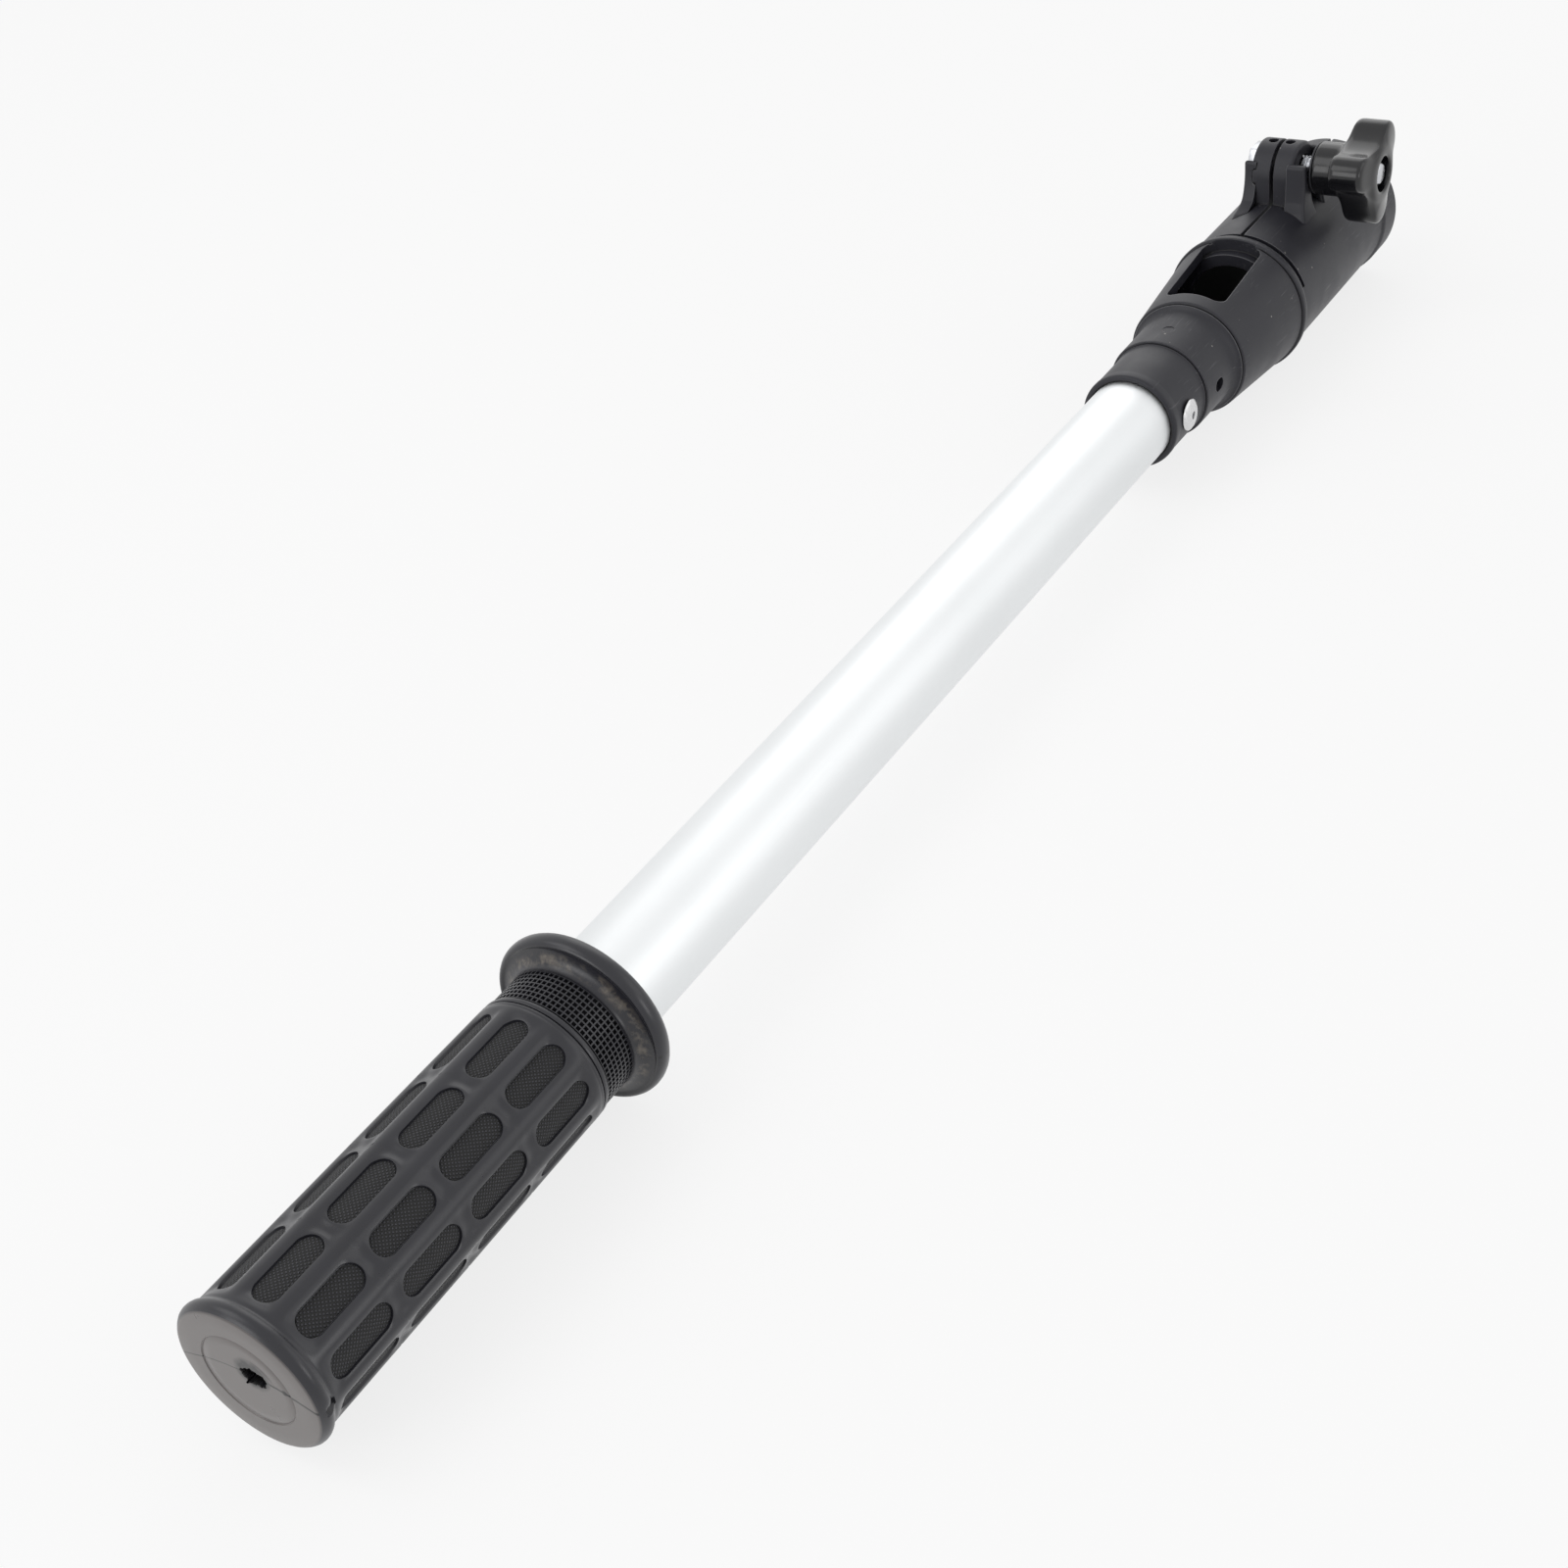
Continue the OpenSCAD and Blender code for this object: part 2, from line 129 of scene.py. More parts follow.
def seen_directly(tree):
    """1 for rays from the camera and for those it sends by reflection or through glass, else 0"""
    path = add(tree, "LightPath")
    seen = path.outputs["Is Camera Ray"]
    for kind in ("Is Glossy Ray", "Is Transmission Ray"):
        seen = add(tree, "Math", {0: seen, 1: path.outputs[kind]}, operation="MAXIMUM").outputs[0]
    return seen


def glass_filled_nylon():
    """Moulded glass-filled nylon: a dry bluish charcoal with pale scuffs, dust specks, edges painted paler as rubbed
    wear and painted highlight, painted shade in corners, and a bore painted near black as shade
    """
    material, tree, shader = new_material("moulded glass-filled nylon")
    where = add(tree, "TexCoord").outputs["Object"]
    # Clouding of the moulding, about 20 mm across
    cloud = add(tree, "TexNoise", {"Vector": where, "Scale": 55.0, "Detail": 4.0, "Roughness": 0.6})
    # Grit of the tool's spark-eroded face, 0.4 mm
    grit = add(tree, "TexNoise", {"Vector": where, "Scale": 2600.0, "Detail": 2.0})
    colour = layered(tree, linear("#1e1e24"), (cloud.outputs["Fac"], linear("#28282f")))
    # Scratches in two directions, drawn 0.3 mm wide where the real ones are finer
    patches = add(tree, "TexNoise", {"Vector": where, "Scale": 38.0, "Detail": 3.0})
    worn = add(tree, "MapRange", {"Value": patches.outputs["Fac"], "From Min": 0.47, "From Max": 0.62})
    for turn, scale in ((0.5, (60.0, 900.0, 900.0)), (-0.9, (90.0, 1100.0, 1100.0))):
        laid = add(tree, "Mapping", {"Vector": where, "Scale": scale, "Rotation": (0.4, turn, turn)})
        lines = add(tree, "TexNoise", {"Vector": laid.outputs[0], "Scale": 1.0, "Detail": 3.0})
        line = add(tree, "MapRange", {"Value": lines.outputs["Fac"], "From Min": 0.63, "From Max": 0.74,
                                      "To Max": 0.65})
        scratch = add(tree, "Math", {0: line.outputs[0], 1: worn.outputs[0]}, operation="MULTIPLY")
        colour = layered(tree, colour, (scratch.outputs[0], linear("#6b6b6e")))
    # Dust specks in about a third of cells 4 mm wide, drawn 0.6 mm across where the real ones are finer
    cells = add(tree, "TexVoronoi", {"Vector": where, "Scale": 250.0})
    speck = add(tree, "MapRange", {"Value": cells.outputs["Distance"], "From Min": 0.1, "From Max": 0.06})
    pick = add(tree, "SeparateXYZ", {"Vector": cells.outputs["Color"]})
    few = add(tree, "MapRange", {"Value": pick.outputs["X"], "From Min": 0.6, "From Max": 0.9, "To Max": 0.9})
    dust = add(tree, "Math", {0: speck.outputs[0], 1: few.outputs[0]}, operation="MULTIPLY")
    colour = layered(tree, colour, (dust.outputs[0], linear("#a09d98")))
    # Edges are painted paler where the rounded normal leaves the flat one: partly rubbed wear, partly a painted edge
    # highlight
    edge = add(tree, "Bevel", {"Radius": 0.5 * MM}, samples=8)
    flat = add(tree, "NewGeometry").outputs["Normal"]
    same = add(tree, "VectorMath", {0: edge.outputs[0], 1: flat}, operation="DOT_PRODUCT")
    worn_and_highlit_edge = add(tree, "MapRange", {"Value": same.outputs["Value"], "From Min": 0.985, "From Max": 0.88,
                                    "To Max": 0.7})
    # Corners get painted shade instead: near black where the surface is hemmed in, and the paler edges count only
    # where it is open
    open_sky = add(tree, "AmbientOcclusion", {"Distance": 1.6 * MM}, samples=8)
    bare = add(tree, "MapRange", {"Value": open_sky.outputs["AO"], "From Min": 0.75, "From Max": 0.95})
    shown = add(tree, "Math", {0: worn_and_highlit_edge.outputs[0], 1: bare.outputs[0]}, operation="MULTIPLY")
    colour = layered(tree, colour, (shown.outputs[0], linear("#78787c")))
    # Painted shade: the colour goes near black in hollows and inner corners
    painted_corner_shade = add(tree, "MapRange", {"Value": open_sky.outputs["AO"], "From Min": 0.78, "From Max": 0.5,
                                  "To Max": 0.9})
    colour = layered(tree, colour, (painted_corner_shade.outputs[0], linear("#070708")))
    # Inside the bore the colour is painted near black as shade, and the roughness goes to 1 there
    axes, _, radius = from_axis(tree, where)
    within = add(tree, "Math", {0: radius, 1: (BORE_R + 0.2) * MM}, operation="LESS_THAN")
    ahead = add(tree, "Math", {0: axes.outputs["X"], 1: (SHOULDER_BACK + 0.2) * MM}, operation="GREATER_THAN")
    bore = add(tree, "Math", {0: within.outputs[0], 1: ahead.outputs[0]}, operation="MULTIPLY")
    colour = layered(tree, colour, (bore.outputs[0], linear("#09090a")))
    rough = add(tree, "MapRange", {"Value": cloud.outputs["Fac"], "From Min": 0.3, "From Max": 0.7,
                                   "To Min": 0.4, "To Max": 0.52})
    rough = add(tree, "Mix", {"Factor": bore.outputs[0], "A": rough.outputs[0], "B": 1.0})
    bump = add(tree, "Bump", {"Strength": 0.2, "Distance": 0.05 * MM, "Height": grit.outputs["Fac"],
                              "Normal": edge.outputs[0]})
    surface(tree, shader, colour, rough.outputs[0], bump.outputs[0])
    shader.inputs["Specular IOR Level"].default_value = 0.4
    return material


def moulded_rubber():
    """Moulded thermoplastic rubber: satin black with a soft sheen, woven pads, a closed end painted paler as a
    painted reflection, and painted shade in its pits, nicks and torn hole
    """
    material, tree, shader = new_material("moulded rubber")
    where = add(tree, "TexCoord").outputs["Object"]
    axes, across, radius = from_axis(tree, where)
    y, z = axes.outputs["Y"], axes.outputs["Z"]
    cloud = add(tree, "TexNoise", {"Vector": where, "Scale": 70.0, "Detail": 5.0, "Roughness": 0.6})
    fine = add(tree, "TexNoise", {"Vector": where, "Scale": 900.0, "Detail": 3.0})
    colour = layered(tree, linear("#1c1c22"), (cloud.outputs["Fac"], linear("#27272e")))

    # Woven face of the pads: diagonal threads 0.88 mm apart, drawn from the flat pattern's own map
    flat = add(tree, "UVMap", uv_map="flat")
    turned_map = add(tree, "Mapping", {"Vector": flat.outputs[0], "Rotation": (0, 0, math.radians(40))})
    threads = add(tree, "SeparateXYZ", {"Vector": turned_map.outputs[0]})
    waves = []
    for axis in ("X", "Y"):
        scaled = add(tree, "Math", {0: threads.outputs[axis], 1: TURN / THREAD_PITCH}, operation="MULTIPLY")
        wave = add(tree, "Math", {0: scaled.outputs[0]}, operation="SINE")
        waves.append(add(tree, "Math", {0: wave.outputs[0], 1: 0.5, 2: 0.5}, operation="MULTIPLY_ADD"))
    weave = add(tree, "Math", {0: waves[0].outputs[0], 1: waves[1].outputs[0]}, operation="MULTIPLY")
    pad = add(tree, "Attribute", attribute_name="pad")
    pad_face = add(tree, "MapRange", {"Value": pad.outputs["Fac"], "From Min": 0.93, "From Max": 0.99})
    knots = add(tree, "MapRange", {"Value": weave.outputs[0], "From Min": 0.3, "From Max": 0.7})
    woven = layered(tree, linear("#030304"), (knots.outputs[0], linear("#48484e")))
    colour = layered(tree, colour, (pad_face.outputs[0], woven))

    # Beige dust caught in the hollow front of the flange
    in_ring = add(tree, "MapRange", {"Value": radius, "From Min": 18.8 * MM, "From Max": 19.6 * MM})
    out_ring = add(tree, "MapRange", {"Value": radius, "From Min": 22.6 * MM, "From Max": 21.0 * MM})
    at_flange = add(tree, "Math", {0: axes.outputs["X"], 1: -459.2 * MM}, operation="GREATER_THAN")
    front = add(tree, "Math", {0: axes.outputs["X"], 1: -453.6 * MM}, operation="LESS_THAN")
    patches = add(tree, "TexNoise", {"Vector": where, "Scale": 260.0, "Detail": 6.0, "Roughness": 0.7})
    patch_mask = add(tree, "MapRange", {"Value": patches.outputs["Fac"], "From Min": 0.46, "From Max": 0.7})
    dust = in_ring.outputs[0]
    for other in (out_ring, at_flange, front, patch_mask):
        dust = add(tree, "Math", {0: dust, 1: other.outputs[0]}, operation="MULTIPLY").outputs[0]
    colour = layered(tree, colour, (dust, linear("#7d756b")))

    # The closed end is painted paler as a painted reflection, with the mould's seam across it
    at_end = add(tree, "Math", {0: axes.outputs["X"], 1: -580.2 * MM}, operation="LESS_THAN")
    end_face = add(tree, "MapRange", {"Value": radius, "From Min": 20.6 * MM, "From Max": 19.8 * MM})
    end_sheen_mask = add(tree, "Math", {0: at_end.outputs[0], 1: end_face.outputs[0]}, operation="MULTIPLY")
    painted_end_sheen = layered(tree, linear("#625d5c"), (cloud.outputs["Fac"], linear("#75706e")))
    colour = layered(tree, colour, (end_sheen_mask.outputs[0], painted_end_sheen))
    # Seam: a parabola in Z over Y, highest beside the tear
    y_squared = add(tree, "Math", {0: y, 1: y}, operation="MULTIPLY")
    bow = add(tree, "Math", {0: y_squared.outputs[0], 1: -8.6, 2: 2.6 * MM}, operation="MULTIPLY_ADD")
    wander = add(tree, "TexNoise", {"Vector": where, "Scale": 400.0, "Detail": 2.0})
    bow_wander = add(tree, "Math", {0: wander.outputs["Fac"], 1: 0.5 * MM, 2: bow.outputs[0]},
                     operation="MULTIPLY_ADD")
    off_seam = add(tree, "Math", {0: z, 1: bow_wander.outputs[0]}, operation="SUBTRACT")
    seam_gap = add(tree, "Math", {0: off_seam.outputs[0]}, operation="ABSOLUTE")
    # It gapes on the knob's side of the tear
    gaping = add(tree, "MapRange", {"Value": y, "From Min": -5.0 * MM, "From Max": -7.0 * MM,
                                    "To Max": 0.24 * MM})
    gap = add(tree, "Math", {0: seam_gap.outputs[0], 1: gaping.outputs[0]}, operation="SUBTRACT")
    seam = add(tree, "MapRange", {"Value": gap.outputs[0], "From Min": 0.2 * MM, "From Max": 0.1 * MM})
    seam_end = add(tree, "Math", {0: seam.outputs[0], 1: at_end.outputs[0]}, operation="MULTIPLY")
    colour = layered(tree, colour, (seam_end.outputs[0], linear("#0c0c0c")))
    # Black spots of painted shade: a pit in the seam, the torn nick in the end bead and the one in the flange's rim
    for spot, wide in PAINTED_SHADE_SPOTS:
        away = add(tree, "VectorMath", {0: where, 1: Vector(spot) * MM}, operation="DISTANCE")
        pit_shade = add(tree, "MapRange", {"Value": away.outputs["Value"], "From Min": wide * MM,
                                     "From Max": 0.6 * wide * MM})
        colour = layered(tree, colour, (pit_shade.outputs[0], linear("#060606")))

    # Soot-like smudge round the torn hole, darkest above it; it also paints the hole's walls near black, which is
    # painted shade
    to_tear = add(tree, "VectorMath", {0: across.outputs[0], 1: (0, -2.2 * MM, 3.2 * MM)}, operation="DISTANCE")
    smudge = add(tree, "MapRange", {"Value": to_tear.outputs["Value"], "From Min": 5.6 * MM,
                                    "From Max": 3.6 * MM})
    blot = add(tree, "Math", {0: wander.outputs["Fac"], 1: smudge.outputs[0]}, operation="MULTIPLY")
    soot_and_hole_shade = add(tree, "MapRange", {"Value": blot.outputs[0], "From Min": 0.05, "From Max": 0.5})
    colour = layered(tree, colour, (soot_and_hole_shade.outputs[0], linear("#0b0a0a")))

    rough = add(tree, "MapRange", {"Value": cloud.outputs["Fac"], "From Min": 0.3, "From Max": 0.7,
                                   "To Min": 0.25, "To Max": 0.35})
    rough_pad = add(tree, "Mix", {"Factor": pad_face.outputs[0], "A": rough.outputs[0], "B": 0.75})
    height = add(tree, "Math", {0: weave.outputs[0], 1: pad_face.outputs[0]}, operation="MULTIPLY")
    weave_bump = add(tree, "Bump", {"Strength": 1.0, "Distance": 0.4 * MM, "Height": height.outputs[0]})
    soft_bump = add(tree, "Bump", {"Strength": 0.12, "Distance": 0.06 * MM, "Height": fine.outputs["Fac"],
                                   "Normal": weave_bump.outputs[0]})
    surface(tree, shader, colour, rough_pad.outputs["Result"], soft_bump.outputs[0])
    shader.inputs["Sheen Weight"].default_value = 0.05
    return material


def anodised_aluminium():
    """Drawn and satin anodised aluminium: bright silver with a faint grain along the tube"""
    material, tree, shader = new_material("satin anodised aluminium")
    where = add(tree, "TexCoord").outputs["Object"]
    along = add(tree, "Mapping", {"Vector": where, "Scale": (18.0, 1800.0, 1800.0)})
    grain = add(tree, "TexNoise", {"Vector": along.outputs[0], "Scale": 1.0, "Detail": 4.0})
    cloud = add(tree, "TexNoise", {"Vector": where, "Scale": 30.0, "Detail": 3.0})
    tint = layered(tree, linear("#e5e7e8"), (cloud.outputs["Fac"], linear("#ebedee")))
    rough = add(tree, "MapRange", {"Value": grain.outputs["Fac"], "From Min": 0.3, "From Max": 0.7,
                                   "To Min": 0.42, "To Max": 0.5})
    bump = add(tree, "Bump", {"Strength": 0.08, "Distance": 0.02 * MM, "Height": grain.outputs["Fac"]})
    surface(tree, shader, tint, rough.outputs[0], bump.outputs[0])
    shader.inputs["Metallic"].default_value = 1.0
    return material


def gloss_phenolic():
    """Compression-moulded phenolic: deep gloss black with faint handling smears and a few specks"""
    material, tree, shader = new_material("gloss phenolic")
    where = add(tree, "TexCoord").outputs["Object"]
    smear = add(tree, "TexNoise", {"Vector": where, "Scale": 160.0, "Detail": 5.0, "Roughness": 0.65})
    rough = add(tree, "MapRange", {"Value": smear.outputs["Fac"], "From Min": 0.35, "From Max": 0.7,
                                   "To Min": 0.13, "To Max": 0.22})
    specks = add(tree, "TexVoronoi", {"Vector": where, "Scale": 420.0})
    speck = add(tree, "MapRange", {"Value": specks.outputs["Distance"], "From Min": 0.1, "From Max": 0.05})
    colour = layered(tree, linear("#111114"), (speck.outputs[0], linear("#29292c")))
    edge = add(tree, "Bevel", {"Radius": 0.5 * MM}, samples=6)
    ripple = add(tree, "TexNoise", {"Vector": where, "Scale": 60.0})
    bump = add(tree, "Bump", {"Strength": 0.1, "Distance": 0.03 * MM, "Height": ripple.outputs["Fac"],
                              "Normal": edge.outputs[0]})
    surface(tree, shader, colour, rough.outputs[0], bump.outputs[0])
    return material


def bright_metal(name, light, dark, metal_rough, scale):
    """Plated or bare bright metal: silver with fine tumbling marks"""
    material, tree, shader = new_material(name)
    where = add(tree, "TexCoord").outputs["Object"]
    marks = add(tree, "TexNoise", {"Vector": where, "Scale": scale, "Detail": 4.0})
    tint = layered(tree, linear(dark), (marks.outputs["Fac"], linear(light)))
    rough = add(tree, "MapRange", {"Value": marks.outputs["Fac"], "From Min": 0.3, "From Max": 0.7,
                                   "To Min": metal_rough, "To Max": metal_rough + 0.12})
    bump = add(tree, "Bump", {"Strength": 0.15, "Distance": 0.03 * MM, "Height": marks.outputs["Fac"]})
    surface(tree, shader, tint, rough.outputs[0], bump.outputs[0])
    shader.inputs["Metallic"].default_value = 1.0
    return material


NYLON = glass_filled_nylon()
RUBBER = moulded_rubber()
ANODISED = anodised_aluminium()
PHENOLIC = gloss_phenolic()
RIVET_METAL = bright_metal("bright rivet aluminium", "#e6e6e6", "#c4c4c6", 0.2, 900.0)
MANDREL_METAL = bright_metal("plain mandrel steel", "#9c9c9e", "#77777a", 0.3, 700.0)
ZINC_STEEL = bright_metal("zinc-plated steel", "#d8d9dc", "#a9abb0", 0.22, 800.0)
BRASS = bright_metal("turned brass", "#d9b56a", "#b08a3e", 0.25, 800.0)


# Mesh helpers
def object_from(bm, name):
    """Makes an object of a bmesh and frees the bmesh"""
    mesh = bpy.data.meshes.new(name)
    bm.to_mesh(mesh)
    bm.free()
    piece = bpy.data.objects.new(name, mesh)
    bpy.context.scene.collection.objects.link(piece)
    return piece


def settle(piece, sharp=35):
    """Smooth shading but for edges sharper than the given angle"""
    for polygon in piece.data.polygons:
        polygon.use_smooth = True
    piece.data.set_sharp_from_angle(angle=math.radians(sharp))


def finish_mesh(bm, name, material, sharp=35):
    """Makes a finished piece of a bmesh"""
    piece = object_from(bm, name)
    piece.data.materials.append(material)
    settle(piece, sharp)
    return piece


def tool_from(bm, name="tool"):
    """Makes a cutting or joining object of a bmesh, faces outward"""
    bmesh.ops.recalc_face_normals(bm, faces=bm.faces)
    return object_from(bm, name)


def absorb(bm, other):
    """Moves another bmesh's geometry into this one"""
    part = bpy.data.meshes.new("part")
    other.to_mesh(part)
    other.free()
    bm.from_mesh(part)
    bpy.data.meshes.remove(part)


def all_of(bm):
    return list(bm.verts) + list(bm.edges) + list(bm.faces)


def verts_of(geom):
    return [item for item in geom if isinstance(item, bmesh.types.BMVert)]


def thicken(bm, faces, vec):
    """Extrudes flat faces into a plate, by a shift in millimetres"""
    made = bmesh.ops.extrude_face_region(bm, geom=faces)["geom"]
    bmesh.ops.translate(bm, vec=Vector(vec) * MM, verts=verts_of(made))


def round_edges(bm, edges, size, steps):
    """Rounds edges by a size in millimetres"""
    bmesh.ops.bevel(bm, geom=edges, offset=size * MM, offset_type="OFFSET", segments=steps, profile=0.5,
                    affect="EDGES", material=-1)


def extrude_rim(bm, edges):
    """Extrudes an open edge loop and gives its new verts and edges"""
    made = bmesh.ops.extrude_edge_only(bm, edges=edges)["geom"]
    verts = set(verts_of(made))
    return verts, [item for item in made if isinstance(item, bmesh.types.BMEdge) and verts.issuperset(item.verts)]


def spin_profile(bm, profile, steps, axis=(1, 0, 0), closed=True, angle=TURN):
    """Turns [station, radius] points round the part's long axis into a solid of revolution"""
    verts = [bm.verts.new((x * MM, 0, r * MM)) for x, r in profile]
    edges = [bm.edges.new(pair) for pair in zip(verts, verts[1:])]
    if closed:
        edges.append(bm.edges.new((verts[-1], verts[0])))
    bmesh.ops.spin(bm, geom=verts + edges, cent=(0, 0, 0), axis=axis, angle=angle, steps=steps, use_merge=True)
    bmesh.ops.remove_doubles(bm, verts=bm.verts, dist=1e-7)
    bmesh.ops.recalc_face_normals(bm, faces=bm.faces)


def even_shading(piece):
    """Flat faces shade flat: large faces steer the normals at their rims"""
    even = piece.modifiers.new("even shading", "WEIGHTED_NORMAL")
    even.keep_sharp = True
    even.weight = 60


def boolean(piece, tool, operation="DIFFERENCE"):
    """Cuts or joins with another object, then drops that object"""
    change = piece.modifiers.new("shape", "BOOLEAN")
    change.object = tool
    change.operation = operation
    change.solver = "MANIFOLD"
    shaped = bpy.data.meshes.new_from_object(piece.evaluated_get(bpy.context.evaluated_depsgraph_get()))
    piece.modifiers.clear()
    piece.data = shaped
    bpy.data.objects.remove(tool)


def rod_tool(radius, start, end, axis, segments=64, at=(0, 0, 0)):
    """Cylinder from start to end along an axis, for cutting or joining"""
    bm = bmesh.new()
    bmesh.ops.create_cone(bm, cap_ends=True, segments=segments, radius1=radius * MM, radius2=radius * MM,
                          depth=(end - start) * MM)
    turn = {"x": Matrix.Rotation(TURN / 4, 4, "Y"), "z": Matrix(),
            "y": Matrix.Rotation(-TURN / 4, 4, "X") @ Matrix.Rotation(TURN / 4, 4, "Z")}[axis]
    middle = {"x": Vector((1, 0, 0)), "y": Vector((0, 1, 0)), "z": Vector((0, 0, 1))}[axis] * (start + end) / 2
    bmesh.ops.transform(bm, matrix=Matrix.Translation((middle + Vector(at)) * MM) @ turn, verts=bm.verts)
    return tool_from(bm)


def carry_on(bm, edges, stations):
    """Extrudes an open edge loop through [station, radius] points round the long axis"""
    for x, r in stations:
        verts, edges = extrude_rim(bm, edges)
        for vert in verts:
            angle = math.atan2(vert.co.y, vert.co.z)
            vert.co = (x * MM, r * MM * math.sin(angle), r * MM * math.cos(angle))
    return edges


def edge_ring(bm, x, tolerance=0.02):
    """Open edges that lie at one station"""
    return [e for e in bm.edges if e.is_boundary
            and all(abs(v.co.x - x * MM) < tolerance * MM for v in e.verts)]


def smooth_step(t):
    """Eases from 0 to 1 as t does"""
    t = min(max(t, 0.0), 1.0)
    return t * t * (3 - 2 * t)


# Grip
PAD_COLUMNS = 10
PAD_ROWS = 4
# Radius at which the flat pattern keeps its width
MAP_R = 20.0
# Half the straight run of a pad, and its radius at the ends
PAD_HALF = 6.55
PAD_R = 3.9
TEAR_Y = -2.4
TEAR_Z = 2.2
CELL = TURN * MAP_R / PAD_COLUMNS


def pad_cell(bm):
    """One oblong pad sunk into its share of the grip, still flat"""
    pad = bmesh.ops.create_circle(bm, cap_ends=False, segments=48, radius=PAD_R * MM,
                                  matrix=Matrix.Rotation(TURN / 96, 4, "Z"))["verts"]
    for vert in pad:
        vert.co.x += math.copysign(PAD_HALF, vert.co.x) * MM
    sides = [e for e in bm.edges if e.calc_length() > 2 * MM]
    bmesh.ops.subdivide_edges(bm, edges=sides, cuts=12)
    rim = list(bm.edges)
    corners = [bm.verts.new((sx * PAD_PITCH / 2 * MM, sy * CELL / 2 * MM, 0))
               for sx, sy in ((-1, -1), (1, -1), (1, 1), (-1, 1))]
    frame_edges = [bm.edges.new((corners[i], corners[(i + 1) % 4])) for i in range(4)]
    bmesh.ops.subdivide_edges(bm, edges=[frame_edges[0], frame_edges[2]], cuts=23)
    bmesh.ops.subdivide_edges(bm, edges=[frame_edges[1], frame_edges[3]], cuts=11)
    border = [e for e in bm.edges if e not in set(rim)]
    ring = bmesh.ops.bridge_loops(bm, edges=rim + border)["faces"]
    rails = [e for e in {e for f in ring for e in f.edges} if e not in set(rim) and e not in set(border)]
    bmesh.ops.subdivide_edges(bm, edges=rails, cuts=3, use_grid_fill=True)
    floor = bmesh.ops.contextual_create(bm, geom=rim)["faces"]
    for face in floor:
        if face.normal.z < 0:
            face.normal_flip()
    # Lip, wall, a fine groove round the floor, then the floor itself
    bmesh.ops.inset_region(bm, faces=floor, thickness=0.14 * MM, depth=-0.07 * MM)
    bmesh.ops.inset_region(bm, faces=floor, thickness=0.04 * MM, depth=-0.66 * MM)
    bmesh.ops.inset_region(bm, faces=floor, thickness=0.12 * MM, depth=0.0)
    bmesh.ops.inset_region(bm, faces=floor, thickness=0.12 * MM, depth=0.12 * MM)
    for _ in range(3):
        bmesh.ops.inset_region(bm, faces=floor, thickness=1.0 * MM, depth=0.03 * MM)
    # Marks the woven floor for the material
    mark = bm.verts.layers.float.get("pad")
    for vert in bm.verts:
        from_spine = math.hypot(max(abs(vert.co.x / MM) - PAD_HALF, 0.0), vert.co.y / MM)
        vert[mark] = 1.0 if from_spine < PAD_R - 0.25 else 0.0


def grip_body_radius(x):
    """The body tapers from 20.2 mm at the closed end to 19.5 mm at the waffle band"""
    t = (x - BODY_START) / (WAFFLE_START - BODY_START)
    return 20.2 + (19.5 - 20.2) * min(max(t, 0.0), 1.0)


def tear_outline(angle):
    """Radius of the torn hole round its own middle, in millimetres"""
    r = 3.5 * (0.76 + 0.32 * math.sin(angle) ** 2)
    r += 0.22 * math.sin(5 * angle + 1.1) + 0.16 * math.sin(11 * angle) + 0.1 * math.sin(23 * angle + 0.4)
    # A split runs out of the tear on one side
    notch = abs((angle - math.radians(136) + math.pi) % TURN - math.pi)
    return r + 2.7 * max(0.0, 1 - notch / 0.13) ** 1.4


